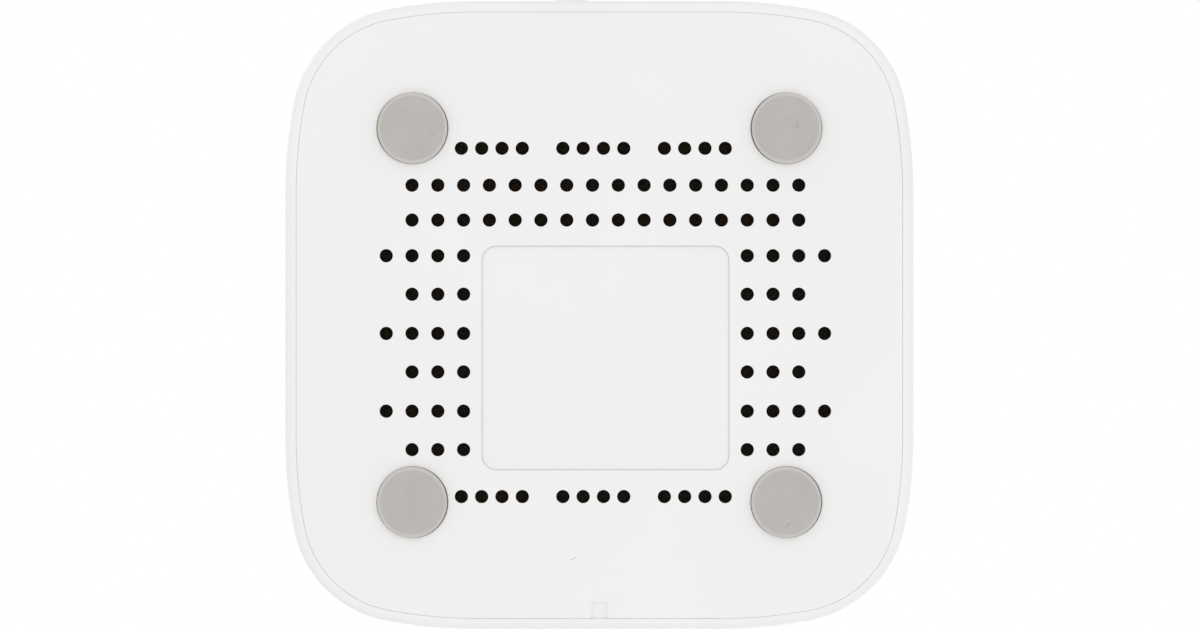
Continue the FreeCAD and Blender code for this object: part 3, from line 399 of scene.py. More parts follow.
def mouldedFinish(name, scratches=(), recessShade=None):
    # Satin moulded plastic: a fine spark-eroded grain, faint clouds in its colour and gloss,
    # hairline rubs in patches that run two ways, scratches, and painted shade along the edge of a recess
    use = moulding
    paint = newPaint(name)
    clouds = paint.noise(use["cloudSize"], 3.0)
    streaks = [paint.noise(1.0, 1.0, paint.mapped(use["hairStretch"], turn)) for turn in use["hairTurns"]]
    hairs = paint.most(*[paint.span(streak, *use["hairBand"]) for streak in streaks])
    hairs = hairs * paint.span(paint.noise(use["rubSize"]), *use["rubBand"])
    tone = paint.mix(paint.span(clouds, *use["cloudBand"]), use["tone"], use["dimTone"])
    tone = paint.mix(hairs * use["hairShare"], tone, use["hairTone"])
    for place in scratches:
        scratch = markOn(paint, *place)
        tone = paint.mix(scratch * use["markShare"], tone, use["scratchTone"])
        hairs = paint.most(hairs, scratch)
    # Painted shade: a darker band along the recess's edge, where the wall's shadow falls
    if recessShade:
        tone = paint.mix(edgeOf(paint, **recessShade) * use["markShare"], tone, use["paintedShadeTone"])
    relief = paint.noise(use["grainSize"]) - hairs * use["hairDepth"]
    paint.surface(Base_Color=tone, Normal=paint.bump(relief, use["grainDepth"]),
                  Roughness=use["roughness"] + (clouds - 0.5) * use["cloudGloss"] + hairs * use["hairGloss"])
    return paint.owner


rubber = {
    # the rim tone is a painted highlight on the feet's rounded rim
    "tone": shade(188, 184, 181), "otherTone": shade(184, 180, 176), "paintedRimLightTone": shade(206, 201, 196),
    "paintedRimLightShare": 0.8, "rimStart": 4.45, "rimEnd": 4.8,       # millimetres from the foot's middle
    "scuffTone": shade(150, 147, 144), "scuffShare": 0.5, "scuffGloss": -0.15,
    "roughness": 0.62, "mottleSize": 0.0035, "mottleBand": (0.3, 0.7), "mottleGloss": 0.12,
    "mottleRelief": 0.3, "grainSize": 0.0004, "grainDepth": 0.00002,
}


def rubberFinish():
    # Warm grey rubber, with a painted highlight that makes its rounded rim paler, a fine mottle and a few
    # dark scuffs. The feet stand on a square about the middle, so one foot's place serves them all
    use = rubber
    paint = newPaint("footRubber")
    centre = nodeMiddle("foot_rear_left") / metre
    east, north = paint.axes(paint.place())[:2]
    reach = paint.reach(abs(east) - centre[0], abs(north) - centre[1])
    # Painted highlight: the rounded rim gets a paler tone, as if lit from the sides
    rim = paint.span(reach, use["rimStart"] / metre, use["rimEnd"] / metre)
    mottle = paint.noise(use["mottleSize"], 4.0)
    scuffs = paint.most(*[markOn(paint, *mark) for mark in marks["scuffs"]])
    tone = paint.mix(paint.span(mottle, *use["mottleBand"]), use["tone"], use["otherTone"])
    tone = paint.mix(rim * use["paintedRimLightShare"], tone, use["paintedRimLightTone"])
    tone = paint.mix(scuffs * use["scuffShare"], tone, use["scuffTone"])
    relief = paint.noise(use["grainSize"], 3.0) + mottle * use["mottleRelief"]
    roughness = use["roughness"] + (mottle - 0.5) * use["mottleGloss"] + scuffs * use["scuffGloss"]
    paint.surface(Base_Color=tone, Roughness=roughness, Normal=paint.bump(relief, use["grainDepth"]))
    return paint.owner


buttonPlastic = {
    "tone": shade(238, 239, 244), "otherTone": shade(233, 234, 240), "roughness": 0.34, "cloudSize": 0.004,
    "cloudGloss": 0.16, "grainSize": 0.00025, "grainDepth": 0.000004,
}


def buttonFinish():
    # Cooler white than the housing, a little glossier, with the gloss in clouds from fingertips
    use = buttonPlastic
    paint = newPaint("buttonPlastic")
    clouds = paint.noise(use["cloudSize"], 3.0)
    paint.surface(Base_Color=paint.mix(clouds, use["tone"], use["otherTone"]),
                  Roughness=use["roughness"] + (clouds - 0.5) * use["cloudGloss"],
                  Normal=paint.bump(paint.noise(use["grainSize"]), use["grainDepth"]))
    return paint.owner


laminate = {
    "mask": shade(54, 40, 14), "warmMask": shade(68, 41, 6), "track": shade(62, 47, 20),
    "tin": shade(176, 178, 176), "trackScale": 260.0, "trackFolds": 5.0, "trackBand": (0.28, 0.33),
    "holeScale": 190.0, "holeBand": (0.07, 0.09), "pinsFrom": (0.0235, 0.0237), "weaveScale": 900.0,
    "roughness": 0.42, "trackGloss": 0.06, "weaveGloss": 0.05, "tinMetal": 0.9, "relief": 0.00002,
    "scatter": 0.9, "shine": 0.2,
}


def boardFinish():
    # Dark brown solder mask over copper: tracks and pours stand a little paler under it, it is warmer
    # in patches, and tinned holes show in the rear part, where the sockets' pins come through
    use = laminate
    paint = newPaint("boardLaminate")
    where = paint.place()
    tracks = paint.node("ShaderNodeTexVoronoi", {"distance": "MANHATTAN"},
                        {"Vector": where, "Scale": use["trackScale"], "Randomness": use["scatter"]})
    copper = paint.span(paint.maths("PINGPONG", tracks * use["trackFolds"], 0.5), *use["trackBand"])
    holes = paint.node("ShaderNodeTexVoronoi", None, {"Vector": where, "Scale": use["holeScale"]})
    rear = paint.span(paint.axes(where)[1], *use["pinsFrom"])
    tinned = (1 - paint.span(holes, *use["holeBand"])) * rear
    weave = paint.node("ShaderNodeTexBrick", None, {"Vector": where, "Scale": use["weaveScale"]}, out="Fac")
    tone = paint.mix(copper, use["mask"], use["track"])
    for mark in marks["warmer"]:
        tone = paint.mix(markOn(paint, *mark), tone, use["warmMask"])
    roughness = use["roughness"] + copper * use["trackGloss"] + weave * use["weaveGloss"]
    paint.surface(Base_Color=paint.mix(tinned, tone, use["tin"]), Metallic=tinned * use["tinMetal"],
                  Roughness=roughness, Specular_IOR_Level=use["shine"],
                  Normal=paint.bump(copper + tinned, use["relief"]))
    return paint.owner


sheet = {"cloudSize": 0.004, "darker": 0.82, "cloudGloss": 0.15, "lineGloss": 0.08, "lineDepth": 0.000004}


def metalFinish(name, colour, roughness, stretch):
    # Rolled and plated metal: fine lines along one way, cloudy gloss
    use = sheet
    paint = newPaint(name)
    lines = paint.noise(1.0, 3.0, paint.mapped(stretch))
    clouds = paint.noise(use["cloudSize"], 3.0)
    darker = tuple(value * use["darker"] for value in colour[:3]) + (1.0,)
    paint.surface(Base_Color=paint.mix(clouds, colour, darker), Metallic=1.0,
                  Roughness=roughness + (clouds - 0.5) * use["cloudGloss"] + lines * use["lineGloss"],
                  Normal=paint.bump(lines, use["lineDepth"]))
    return paint.owner


grainy = {"cloudSize": 8, "cloudBand": (0.35, 0.65), "gloss": 0.15}      # clouds are 8 grains across


def grainyFinish(name, colour, other, roughness, size, depth, **more):
    # A moulded, fired or pressed material: two close tones in clouds, a grain of its own size
    paint = newPaint(name)
    clouds = paint.noise(size * grainy["cloudSize"], 3.0)
    grain = paint.noise(size, 3.0)
    paint.surface(Base_Color=paint.mix(paint.span(clouds, *grainy["cloudBand"]), colour, other),
                  Roughness=roughness + (grain - 0.5) * grainy["gloss"],
                  Normal=paint.bump(grain, depth), **more)
    return paint.owner


finishes = {
    "shell": mouldedFinish("shellPlastic"),
    "base": mouldedFinish("basePlastic", marks["scratches"], marks["recessShade"]),
    "rubber": rubberFinish(),
    "button": buttonFinish(),
    "milky": grainyFinish("milkyMoulding", shade(226, 229, 229), shade(220, 224, 225), 0.2, 0.0006,
                          0.000002, Transmission_Weight=0.25, IOR=1.49),
}
print("finishes:", len(finishes))


# The pieces that keep their frame shapes get their finishes

def dress(finish, *names):
    for name in names:
        mesh = nodes[name].data
        mesh.materials.clear()
        mesh.materials.append(finish)
    print("dressed", *names)


dress(finishes["button"], "reset_switch_plunger")
dress(boardFinish(), "main_board", "zigbee_module_board")
# Name, colour, roughness, how closely the lines follow one another along each axis, pieces
for *values, names in (
    ("zincScrew", (0.62, 0.63, 0.66, 1), 0.34, (1500, 1500, 200), ("board_screws",)),
    ("nickelSheet", (0.72, 0.71, 0.68, 1), 0.26, (200, 3000, 3000),
     ("ethernet_jack_shield", "usb_socket_shield", "reset_switch_frame", "zigbee_module_shield")),
    ("goldContact", (0.95, 0.72, 0.32, 1), 0.42, (3000, 300, 3000),
     ("ethernet_jack_contacts", "usb_socket_contacts")),
    ("capacitorCan", (0.78, 0.79, 0.80, 1), 0.3, (1200, 1200, 150), ("bulk_capacitors", "crystals")),
    ("platedTrace", (0.86, 0.62, 0.36, 1), 0.3, (900, 900, 900), ("zigbee_module_antenna",)),
):
    dress(metalFinish(*values), *names)
# Name, two tones, roughness, the grain's size and depth, pieces
for *values, names in (
    ("insertPlastic", shade(38, 38, 40), shade(32, 32, 33), 0.42, 0.0003, 0.000006,
     ("ethernet_jack_insert", "usb_socket_tongue", "reset_switch_body")),
    ("diodeResin", shade(226, 222, 190), shade(216, 210, 170), 0.22, 0.0003, 0.000004, ("indicator_leds",)),
    ("chipEpoxy", shade(48, 48, 51), shade(40, 40, 43), 0.55, 0.00018, 0.000008,
     ("processor_chip", "flash_chip", "ethernet_transformer", "power_regulators")),
    ("ferriteCore", shade(86, 87, 90), shade(72, 73, 76), 0.6, 0.0002, 0.00001, ("power_inductors",)),
    ("firedCeramic", shade(186, 160, 122), shade(172, 144, 104), 0.38, 0.0002, 0.000006,
     ("ceramic_capacitors",)),
):
    dress(grainyFinish(*values), *names)


# Housing: the outline is a straight side, a wide shoulder arc, a tighter corner arc and a shoulder arc
# again, four times round

housing = {
    "halfWidth": 45.0, "halfStraight": 17.45, "shoulderRadius": 70.7, "cornerRadius": 16.6,
    "shoulderSteps": 12, "cornerSteps": 40, "topEdge": 2.5, "rim": 1.5, "roundSteps": 12,
    "wall": 2.2, "roof": 1.8, "lip": 1.6, "lipEdge": 0.08,
    "patchHalf": 27.0, "patchLevels": 6, "holeMargin": 0.4,     # the walls' triangulated stretches
}
windows = {
    "edge": 0.18, "buttonSteps": 64,
    "sockets": {"ethernet_jack_shield": (0.25, 0.3), "usb_socket_shield": (0.5, 1.15)},     # gap, corner
}
bosses = {"x": 32.0, "y": 31.0, "radius": 3.2, "rooted": 0.3, "pilotRadius": 1.05, "pilotDepth": 6.0,
          "pilotSteps": 24}
hooks = {
    "spacing": 26.0, "width": 5.0, "gap": 0.2, "thickness": 1.2, "rooted": 0.4, "height": 5.4,
    "catch": 0.7, "catchHeight": 1.6, "catchFace": 0.4, "lead": 0.3, "lugHeight": 1.9, "lugThickness": 0.9,
    "clearance": 0.1, "pocketCorner": 0.1, "ribGap": 0.2, "ribThickness": 1.0, "ribHeight": 1.4,
}
button = {
    "radius": 3.15, "gap": 0.1, "dome": 0.95, "crownSteps": 14,
    "edge": 0.15, "edgeIn": 0.6, "edgeDrop": 0.8, "edgeStart": 50,      # where the edge leaves the dome
    "flangeRadius": 3.8, "flangeThickness": 1.0, "flangeGap": 0.1, "stemRadius": 1.5,
}
guide = {"pitch": 7.0, "y": -34.0, "lens": 0.9, "lensGap": 0.05, "holeEdge": 0.1, "crown": 0.1,
         "crownSteps": 8, "pipe": 1.4, "bar": 1.4, "barWidth": 4.4, "barCorner": 0.7, "edge": 0.1}
plateThickness = 2.0
standOut = 1.2          # the feet's height below the base
height = nodeBox("top_shell")[1][2]
ledge = standOut + plateThickness
roofLevel = height - housing["roof"]


def outlinePath():
    # The corner arc's centre lies on the diagonal, where it is the radii's difference away from the
    # shoulder arc's centre, so the arcs meet without a kink
    half, flat = housing["halfWidth"], housing["halfStraight"]
    shoulder, corner = housing["shoulderRadius"], housing["cornerRadius"]
    shoulderX = half - shoulder
    spread = math.sqrt(2 * (shoulder - corner) ** 2 - (shoulderX - flat) ** 2)
    centre = (shoulderX + flat + spread) / 2
    join = math.degrees(math.atan2(centre - flat, centre - shoulderX))
    steps = housing["shoulderSteps"]
    quarter = closedPath(arc((shoulderX, flat), shoulder, 0, join, steps),
                         arc((centre, centre), corner, join, 90 - join, housing["cornerSteps"]),
                         arc((flat, shoulderX), shoulder, 90 - join, 90, steps))
    return closedPath(*[np.array(quarter) @ quarterTurn(k) for k in range(4)])


outline = outlinePath()


def insetOutline(inset):
    return outwards(outline, -inset), outline[1]


def wallAt(along, inset):
    # Where a side's wall stands at each place along it, and its normal: level with the straight
    # side in the middle, then on the shoulder arc
    flat, shoulder = housing["halfStraight"], housing["shoulderRadius"]
    centre = housing["halfWidth"] - shoulder
    beyond = np.sign(along) * np.maximum(np.abs(along) - flat, 0)
    out = centre + np.sqrt((shoulder - inset) ** 2 - beyond ** 2)
    normal = np.stack([beyond, out - centre], axis=-1) / (shoulder - inset)
    return out, normal


def sideSpan(side, inset):
    # The outline's columns that one side's patch covers, in order, and its places along that side
    turn = quarterTurn(5 - side)
    along, out = (outline[0] @ turn).T
    columns = np.flatnonzero((out > 0) & (np.abs(along) < housing["patchHalf"]))
    columns = columns[np.argsort(-along[columns])]
    return columns, (insetOutline(inset)[0] @ turn)[columns, 0]


def placeOn(side, order=(0, 1, 2)):
    # Places a shape that was worked out for the rear, which is side 1, on another side. The order
    # swaps the axes of a shape that was drawn in the wall's section
    turn = np.eye(3)
    turn[:2, :2] = quarterTurn(side + 3)
    return lambda points, normals: (points[:, order] @ turn, normals[:, order] @ turn)


def wallStrip(skin, inset, low, high, facing, holes):
    # A belt of the wall between two levels: on each side a triangulated patch with holes, given in
    # places along that side and levels, and quads round the corners between
    margin = housing["holeMargin"]
    points, normals = insetOutline(inset)
    spans = [sideSpan(side, inset) for side in range(4)]
    for side, (columns, along) in enumerate(spans):
        after = spans[(side + 1) % 4][0][0]
        run = (columns[-1] + np.arange((after - columns[-1]) % len(points) + 1)) % len(points)
        skin.ring((points[run], normals[run]), straight((0, low), (0, high), (facing, 0)), closed=False)
        around = np.stack([np.append(along, along[::-1]), np.repeat([low, high], len(along))], axis=1)
        loops = [around] + holes.get(side, [])
        levels = np.linspace(low, high, housing["patchLevels"])[1:-1]
        inside = np.stack(np.meshgrid(along[1:-1], levels), axis=-1).reshape(-1, 2)
        for hole in loops[1:]:
            near = (inside > hole.min(axis=0) - margin) & (inside < hole.max(axis=0) + margin)
            inside = inside[~np.all(near, axis=1)]
        spots, faces = triangulated(loops, inside)
        out, normal = wallAt(spots[:, 0], inset)
        skin.place = placeOn(side)
        skin.patch(np.insert(spots, 1, out, axis=1), np.insert(normal, 2, 0, axis=1) * facing, faces)
        skin.place = asDrawn


def rearWindows():
    # A rounded window for each socket, larger by a gap all round, and the button's hole
    found = []
    for name, (gap, corner) in windows["sockets"].items():
        low, high = nodeBox(name)
        found.append(roundedBox(nodeMiddle(name)[[0, 2]], *(high - low)[[0, 2]] + 2 * gap, corner))
    cap = nodeMiddle("reset_button")[[0, 2]]
    return found + [circlePath(cap, button["radius"] + button["gap"], windows["buttonSteps"])]


def windowTunnel(skin, path):
    # The edge and the walls of a hole through the rear wall: a small rounded edge outside, then
    # straight in along Y to the wall's inner face
    edge = windows["edge"]
    offset, depth, share, rise = np.hstack(arc((edge, edge), edge, -90, -180)).T[:, :, None, None]
    points, turned = path[0] + offset * path[1], share * path[1]
    out, normal = wallAt(points[..., 0], 0)
    inner = wallAt(path[0][:, 0], housing["wall"])[0]
    rows = np.stack([points[..., 0], out - depth[..., 0], points[..., 1]], axis=-1)
    last = np.insert(path[0], 1, inner, axis=1)[None]
    faced = np.stack([turned[..., 0], np.zeros_like(out), turned[..., 1]], axis=-1)
    faced[..., :2] -= rise * normal
    skin.grid(np.concatenate([rows, last]), np.concatenate([faced, faced[-1:]]), closed=True)


def hookPockets():
    # Places along a side, and levels, of the pockets that the hooks and the rear lugs catch in
    use = hooks
    width = use["width"] + 2 * use["gap"]
    found = {}
    for side in range(4):
        rise, catch = ("lugHeight", "lugThickness") if side == 1 else ("height", "catchHeight")
        top = ledge + use[rise] + use["clearance"]
        bottom = top - use[catch] - 2 * use["clearance"]
        found[side] = [roundedBox((place * use["spacing"] / 2, (top + bottom) / 2), width, top - bottom,
                                  use["pocketCorner"], 2) for place in (-1, 1)]
    return found


def pocketWalls(skin, side, path, depth):
    # A blind pocket in the inner wall: straight walls outwards and a flat floor
    points, normals = path
    start = wallAt(points[:, 0], housing["wall"])[0]
    floor = np.full_like(start, start.min() + depth)
    skin.place = placeOn(side)
    skin.grid(np.stack([np.insert(points, 1, out, axis=1) for out in (start, floor)]),
              np.stack([np.insert(-normals, 1, 0, axis=1)] * 2), closed=True)
    flat, faces = triangulated([points])
    skin.patch(np.insert(flat, 1, floor[0], axis=1), np.tile([0.0, -1.0, 0.0], (len(flat), 1)), faces)
    skin.place = asDrawn


def boss(skin, centre):
    # A post rooted in the roof, down to the board, with a blind pilot hole
    use = bosses
    bottom = nodeBox("main_board")[1][2]
    top, pilotEnd = roofLevel + use["rooted"], bottom + use["pilotDepth"]
    post = circlePath(centre, use["radius"])
    pilot = circlePath(centre, use["pilotRadius"], use["pilotSteps"])
    skin.ring(post, straight((0, bottom), (0, top), (1, 0)))
    skin.flat([post[0]], top, 1)
    skin.flat([post[0], pilot[0]], bottom, -1)
    skin.ring(pilot, straight((0, bottom), (0, pilotEnd), (-1, 0)))
    skin.flat([pilot[0]], pilotEnd, -1)


def fourPlaces(x, y):
    return [(sideX * x, sideY * y) for sideX in (-1, 1) for sideY in (-1, 1)]


def lightCentres():
    return [(place * guide["pitch"], guide["y"]) for place in (-1, 0, 1)]


def makeShell():
    # An open-bottomed bucket: rounded top edge, upright wall, curved rim and lip, ledge, inner wall
    use = housing
    skin = Skin()
    top, rim, lip, wall, edge = use["topEdge"], use["rim"], use["lip"], use["wall"], use["lipEdge"]
    topLevel, rimLevel = height - top, standOut + rim
    skin.ring(outline, arc((-top, topLevel), top, 90, 0, use["roundSteps"]))
    skin.ring(outline, arc((-rim, rimLevel), rim, 0, -90, use["roundSteps"]),
              arc((edge - lip, standOut + edge), edge, -90, -180))
    skin.ring(outline, straight((-lip, standOut + edge), (-lip, ledge), (-1, 0)))
    skin.ring(outline, straight((-lip, ledge), (-wall, ledge), (0, -1)))
    openings = rearWindows()
    pockets = hookPockets()
    edges = [outwards(path, windows["edge"]) for path in openings]
    wallStrip(skin, 0.0, rimLevel, topLevel, 1, {1: edges})
    inner = {side: [path[0] for path in found] for side, found in pockets.items()}
    inner[1] += [path[0] for path in openings]
    wallStrip(skin, wall, ledge, roofLevel, -1, inner)
    for path in openings:
        windowTunnel(skin, path)
    for side, found in pockets.items():
        for path in found:
            pocketWalls(skin, side, path, hooks["catch"] + hooks["gap"])
    small = guide["holeEdge"]
    lights = [circlePath(centre, guide["lens"] + guide["lensGap"]) for centre in lightCentres()]
    skin.flat([outwards(outline, -top)] + [outwards(path, small) for path in lights], height, 1)
    skin.flat([outwards(outline, -wall)] + [path[0] for path in lights], roofLevel, -1)
    for path in lights:
        skin.ring(path, arc((small, height - small), small, 90, 180),
                  straight((0, roofLevel), (0, roofLevel), (-1, 0)))
    for centre in fourPlaces(bosses["x"], bosses["y"]):
        boss(skin, centre)
    skin.make("moulded_top_shell", "housing", finishes["shell"], "top_shell")


makeShell()


# Base plate

plate = {
    "seam": 0.022, "edge": 0.07, "ventRadius": 0.96, "ventEdge": 0.04, "ventSteps": 28, "ventEdgeSteps": 3,
    "recessEdge": 0.08, "recessFillet": 0.08, "labelDepth": 0.3, "labelRadius": 2.1, "labelSteps": 14,
    "labelX": -0.87, "labelY": -6.12, "labelWidth": 35.44, "labelLength": 32.1,
    "notchHalf": 1.1, "notchEnd": -41.05, "notchDepth": 0.35, "notchCorner": 0.28, "notchInner": 0.35,
    "notchSteps": 6,
}
vents = {
    "columnPitch": 3.69, "columnsX": -0.86, "longRow": 16, "longRowY": 18.61, "longRowPitch": 4.99,
    "endGroup": 4, "endPitch": 2.905, "endX": 0.87, "endY": 23.89, "endSpacing": 49.85,
    "sideRows": 3, "sidePitch": 11.12, "sides": ((4, 8.5, 8.51), (3, 7.5, 3.0)),     # count, column, y
}
feet = {
    "spacing": 53.5, "radius": 5.0, "gap": 0.12, "recess": 0.8, "edge": 0.6, "edgeSteps": 10, "face": 4.0,
    "spread": 0.1, "aside": {"foot_rear_left": 0.0, "foot_rear_right": -0.05, "foot_front_left": 0.05,
                             "foot_front_right": 0.04},
}


def ventPlaces():
    # Two closely pitched end rows in three groups of four, two long rows of sixteen, and short rows
    # beside the label recess that stand out and in by turns
    use = vents
    groupMiddle, rowMiddle = (use["endGroup"] - 1) / 2, (use["longRow"] - 1) / 2
    places = []
    for row in range(2):
        for group in (-1, 0, 1):
            middle = (use["endGroup"] + 1) * group - groupMiddle
            places += [(use["endX"] + use["endPitch"] * (middle + k),
                        use["endY"] - use["endSpacing"] * row) for k in range(use["endGroup"])]
        places += [(use["columnsX"] + use["columnPitch"] * (k - rowMiddle),
                    use["longRowY"] - use["longRowPitch"] * row) for k in range(use["longRow"])]
    for row in range(use["sideRows"]):
        for side in (-1, 1):
            for count, outermost, y in use["sides"]:
                places += [(use["columnsX"] + use["columnPitch"] * side * (outermost - k),
                            y - use["sidePitch"] * row) for k in range(count)]
    return places


def notchedPath(inset):
    # The plate's outline with the pry notch let into the middle of its front side, then with the
    # notch's two ends alone, and the notch. The front's straight part is the one long step
    points, normals = insetOutline(inset)
    front = points[:, 1].min()
    half, end, steps = plate["notchHalf"], plate["notchEnd"], plate["notchSteps"]
    corner, inner = plate["notchCorner"], plate["notchInner"]
    notch = closedPath(arc((-half - corner, front + corner), corner, -90, 0, steps),
                       arc((inner - half, end - inner), -inner, 0, -90, steps),
                       arc((half - inner, end - inner), -inner, -90, -180, steps),
                       arc((half + corner, front + corner), corner, -180, -90, steps))
    step = np.roll(points[:, 0], -1) - points[:, 0]
    start = int(np.flatnonzero((points[:, 1] < front + touching) & (step > 1))[0]) + 1
    before, after = (points[:start], normals[:start]), (points[start:], normals[start:])
    ends = (notch[0][[0, -1]], notch[1][[0, -1]])
    return closedPath(before, notch, after), closedPath(before, ends, after), notch[0]


def recess(skin, path, depth):
    # A shallow recess in the underside: rounded edge, wall, small fillet and flat floor
    edge, fillet = plate["recessEdge"], plate["recessFillet"]
    floor = standOut + depth
    skin.ring(path, arc((edge, standOut + edge), edge, -90, -180),
              arc((-fillet, floor - fillet), -fillet, 180, 270))
    skin.flat([outwards(path, -fillet)], floor, -1)


def ribsAndHooks(skin):
    # Locating ribs along the straight sides, hooks at the front and the two sides, rear lugs
    use = hooks
    inner = housing["halfWidth"] - housing["wall"]
    face = inner - use["gap"]
    back, tip = face - use["thickness"], face + use["catch"]
    root = ledge - use["rooted"]
    top, lugTop, ribTop = ledge + use["height"], ledge + use["lugHeight"], ledge + use["ribHeight"]
    catch, lugUnder = top - use["catchHeight"], lugTop - use["lugThickness"]
    hook = [(back, root), (face, root), (face, catch), (tip, catch), (tip, catch + use["catchFace"]),
            (face - use["lead"], top), (back, top)]
    lug = [(back, root), (face, root), (face, lugUnder), (tip, lugUnder), (tip, lugTop), (back, lugTop)]
    ribOut = inner - use["ribGap"]
    ribIn = ribOut - use["ribThickness"]
    rib = [(ribIn, root), (ribOut, root), (ribOut, ribTop), (ribIn, ribTop)]
    for side in range(4):
        skin.place = placeOn(side, (2, 0, 1))
        for place in (-1, 1):
            middle = place * use["spacing"] / 2
            skin.prism(lug if side == 1 else hook, middle - use["width"] / 2, middle + use["width"] / 2)
        skin.prism(rib, -housing["halfStraight"], housing["halfStraight"])
    skin.place = asDrawn


def makePlate():
    # A plate with its edge a seam's width from the shell's lip, pierced by the vents
    use = plate
    skin = Skin()
    outer, upper, notch = notchedPath(housing["lip"] + use["seam"])
    ceiling = standOut + use["notchDepth"]
    edge = use["edge"]
    skin.ring(outer, arc((-edge, standOut + edge), edge, -90, 0),
              straight((0, ceiling), (0, ceiling), (1, 0)))
    skin.ring(upper, straight((0, ceiling), (0, ledge), (1, 0)))
    skin.flat([notch], ceiling, -1)
    holes = [circlePath(place, use["ventRadius"], use["ventSteps"]) for place in ventPlaces()]
    centres = fourPlaces(feet["spacing"] / 2, feet["spacing"] / 2)
    recesses = [circlePath(centre, feet["radius"] + feet["gap"], wideSteps) for centre in centres]
    label = roundedBox((use["labelX"], use["labelY"]), use["labelWidth"], use["labelLength"],
                       use["labelRadius"], use["labelSteps"])
    small = use["ventEdge"]
    under = [outwards(outer, -edge)] + [outwards(path, small) for path in holes]
    under += [outwards(path, use["recessEdge"]) for path in recesses + [label]]
    skin.flat(under, standOut, -1)
    skin.flat([upper[0]] + [path[0] for path in holes], ledge, 1)
    for path in holes:
        skin.ring(path, arc((small, standOut + small), small, -90, -180, use["ventEdgeSteps"]),
                  straight((0, ledge), (0, ledge), (-1, 0)))
    for path in recesses:
        recess(skin, path, feet["recess"])
    recess(skin, label, use["labelDepth"])
    ribsAndHooks(skin)
    skin.make("moulded_base_plate", "housing", finishes["base"], "base_plate")


makePlate()


# Feet and button

def makeFoot(name, aside):
    # Turned about its own axis: flat face, rounded edge, upright side, flat back. It is a little
    # spread along Y and a little aside, so the gap shows at its sides alone
    radius, edge = feet["radius"], feet["edge"]
    top = nodeBox(name)[1][2]
    spread = np.array([1.0, 1 + feet["spread"] / radius, 1.0])
    centre = nodeMiddle(name)[:2] + (aside, 0)
    middle = np.append(centre, 0.0)
    skin = Skin(lambda points, normals: ((points - middle) * spread + middle, normals / spread))
    axis = circlePath(centre, 0, wideSteps)
    skin.ring(axis, straight((0, 0), (feet["face"], 0), (0, -1)),
              arc((radius - edge, edge), edge, -90, 0, feet["edgeSteps"]),
              straight((radius, top), (radius, top), (1, 0)))
    skin.ring(axis, straight((radius, top), (0, top), (0, 1)))
    skin.make(name + "_rubber", "housing", finishes["rubber"], name)


for foot in feet["aside"].items():
    makeFoot(*foot)


def makeButton():
    # Turned about an axis along Y: a shallow dome, whose width and height give its sphere's radius,
    # a softened edge, the shank through the wall, the flange behind it and the stem
    use = button
    low, high = nodeBox("reset_button")
    axisPlace = nodeMiddle("reset_button") * (1, 0, 1)
    radius, edge, wide, stem = use["radius"], use["edge"], use["flangeRadius"], use["stemRadius"]
    sphere = (radius ** 2 + use["dome"] ** 2) / (2 * use["dome"])
    reach = math.degrees(math.asin((radius - edge * use["edgeIn"]) / sphere))
    crown = arc((0, high[1] - sphere), sphere, 90, 90 - reach, use["crownSteps"])
    softened = arc((radius - edge, crown[0][-1][1] - edge * use["edgeDrop"]), edge, use["edgeStart"], 0)
    front = housing["halfWidth"] - housing["wall"] - use["flangeGap"]
    back = front - use["flangeThickness"]
    skin = Skin(lambda points, normals: (points[:, (0, 2, 1)] + axisPlace, normals[:, (0, 2, 1)]))
    axis = circlePath((0, 0), 0, wideSteps)
    skin.ring(axis, crown, softened, straight((radius, front), (radius, front), (1, 0)))
    corners = [(radius, front), (wide, front), (wide, back), (stem, back), (stem, low[1]), (0, low[1])]
    facing = [(0, 1), (1, 0), (0, -1), (1, 0), (0, -1)]
    for start, end, normal in zip(corners, corners[1:], facing):
        skin.ring(axis, straight(start, end, normal))
    skin.make("domed_reset_button", "reset_button", finishes["button"], "reset_button")


makeButton()


def makeGuide():
    # A bar under the roof, three lenses through it whose crowns are parts of spheres, three pipes
    use = guide
    low, high = nodeBox("light_guide")
    bottom, end = roofLevel - use["bar"], low[2]
    edge, lens, pipe, crown = use["edge"], use["lens"], use["pipe"], use["crown"]
    skin = Skin()
    bar = roundedBox((0, use["y"]), high[0] - low[0], use["barWidth"], use["barCorner"])
    skin.ring(bar, arc((-edge, bottom + edge), edge, -90, 0), arc((-edge, roofLevel - edge), edge, 0, 90))
    centres = lightCentres()
    inner = outwards(bar, -edge)
    skin.flat([inner] + [circlePath(centre, lens)[0] for centre in centres], roofLevel, 1)
    skin.flat([inner] + [circlePath(centre, pipe)[0] for centre in centres], bottom, -1)
    sphere = (lens ** 2 + crown ** 2) / (2 * crown)
    reach = math.degrees(math.asin(lens / sphere))
    dome = arc((0, high[2] - sphere), sphere, 90, 90 - reach, use["crownSteps"])
    for centre in centres:
        axis = circlePath(centre, 0)
        skin.ring(axis, dome, straight((lens, high[2] - crown), (lens, roofLevel), (1, 0)))
        skin.ring(axis, straight((pipe, bottom), (pipe, end + edge), (1, 0)),
                  arc((pipe - edge, end + edge), edge, 0, -90),
                  straight((pipe - edge, end), (0, end), (0, -1)))
    skin.make("domed_light_guide", "housing", finishes["milky"], "light_guide")


makeGuide()


# Stage: a pale floor that is seen only from above and fades into the white surround, broad soft lamps
# above and below, and a surround that is dimmer overhead

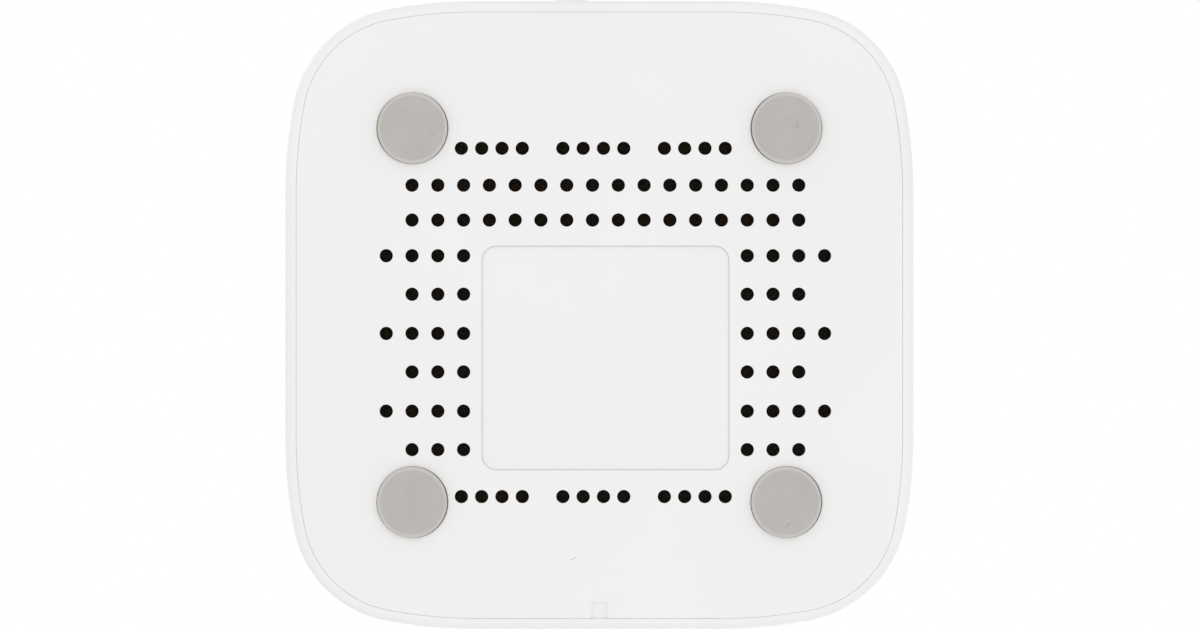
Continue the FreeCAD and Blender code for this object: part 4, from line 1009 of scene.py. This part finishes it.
studio = {
    "floorTone": 0.8, "floorRoughness": 0.8, "floorShine": 0.2,
    "floorHalf": 2.0, "fade": (0.35, 1.4),  # metres from the middle
    "ambient": 0.91, "overhead": 0.42, "overheadBand": (0.15, 0.7), "lampAngle": 36.0,
}
lamps = {       # where each stands, and its power
    "keyBelow": ((-0.45, 0.55, -1.0), 0.17),
    "fillBelow": ((0.6, -0.5, -1.0), 0.09),
    "keyAbove": ((-0.6, -0.7, 1.1), 1.3),
    "fillAbove": ((0.8, 0.6, 0.9), 0.34),
}


def makeFloor():
    half, tone = studio["floorHalf"], studio["floorTone"]
    mesh = bpy.data.meshes.new("floor")
    corners = [(-half, -half, 0), (half, -half, 0), (half, half, 0), (-half, half, 0)]
    mesh.from_pydata(corners, [], [(0, 1, 2, 3)])
    floor = linked("floor", mesh)
    paint = newPaint("floorPaint")
    paint.surface(Base_Color=(tone, tone, tone, 1), Roughness=studio["floorRoughness"],
                  Specular_IOR_Level=studio["floorShine"])
    fade = paint.span(paint.reach(*paint.axes(paint.place())[:2]), *studio["fade"])
    back = paint.node("ShaderNodeNewGeometry", out="Backfacing")
    clear = paint.node("ShaderNodeBsdfTransparent")
    solid = Field(paint, paint.tree.nodes["Principled BSDF"].outputs[0])
    both = paint.node("ShaderNodeMixShader", None, {0: paint.most(back, fade), 1: solid, 2: clear})
    paint.fill(paint.tree.nodes["Material Output"].inputs["Surface"], both)
    mesh.materials.append(paint.owner)
    for ray in ("diffuse", "glossy", "transmission", "shadow"):
        setattr(floor, "visible_" + ray, False)


def makeSurround():
    # White where the camera, gloss and clear plastic see it, ambient light elsewhere
    world = bpy.data.worlds.new("surround")
    bpy.context.scene.world = world
    paint = Paint(world)
    camera, glossy, through = [paint.node("ShaderNodeLightPath", out="Is %s Ray" % kind)
                               for kind in ("Camera", "Glossy", "Transmission")]
    white = paint.maths("MINIMUM", camera + glossy + through, 1.0)
    up = paint.axes(paint.node("ShaderNodeTexCoord", out="Generated"))[2]
    overhead = paint.span(up, *studio["overheadBand"])
    around = studio["ambient"] + overhead * (studio["overhead"] - studio["ambient"])
    background = paint.tree.nodes["Background"]
    background.inputs["Color"].default_value = (1, 1, 1, 1)
    paint.fill(background.inputs["Strength"], around + white * (1 - around))


makeFloor()
for name, (direction, power) in lamps.items():
    lamp = bpy.data.lights.new(name, "SUN")
    lamp.angle = math.radians(studio["lampAngle"])
    lamp.energy = power
    linked(name, lamp).rotation_euler = Vector(direction).to_track_quat("Z", "Y").to_euler()
makeSurround()


# Camera: the photograph looks straight at the underside, with the rear wall at the top of the frame

photo = {"width": 1200, "height": 630, "objectWidth": 628.1, "centreX": 599.4, "centreY": 315.2,
         "lens": 200.0, "sensor": 36.0, "clipStart": 0.01}


def makeCamera():
    # The distance makes the housing's rim as many pixels wide as in the photograph
    camera = bpy.data.cameras.new("photoView")
    camera.sensor_width = photo["sensor"]
    camera.lens = photo["lens"]
    camera.clip_start = photo["clipStart"]
    size = 2 * housing["halfWidth"] / photo["objectWidth"]      # millimetres in a pixel, at the rim
    distance = size * photo["width"] * photo["lens"] / photo["sensor"]
    made = linked("photoView", camera)
    made.location = ((photo["centreX"] - photo["width"] / 2) * size / metre,
                     (photo["centreY"] - photo["height"] / 2) * size / metre,
                     (standOut + housing["rim"] - distance) / metre)
    made.rotation_euler = (0, math.pi, 0)
    bpy.context.scene.camera = made


makeCamera()
bpy.context.scene.view_settings.view_transform = "Standard"
print("stage, lamps and camera ready")
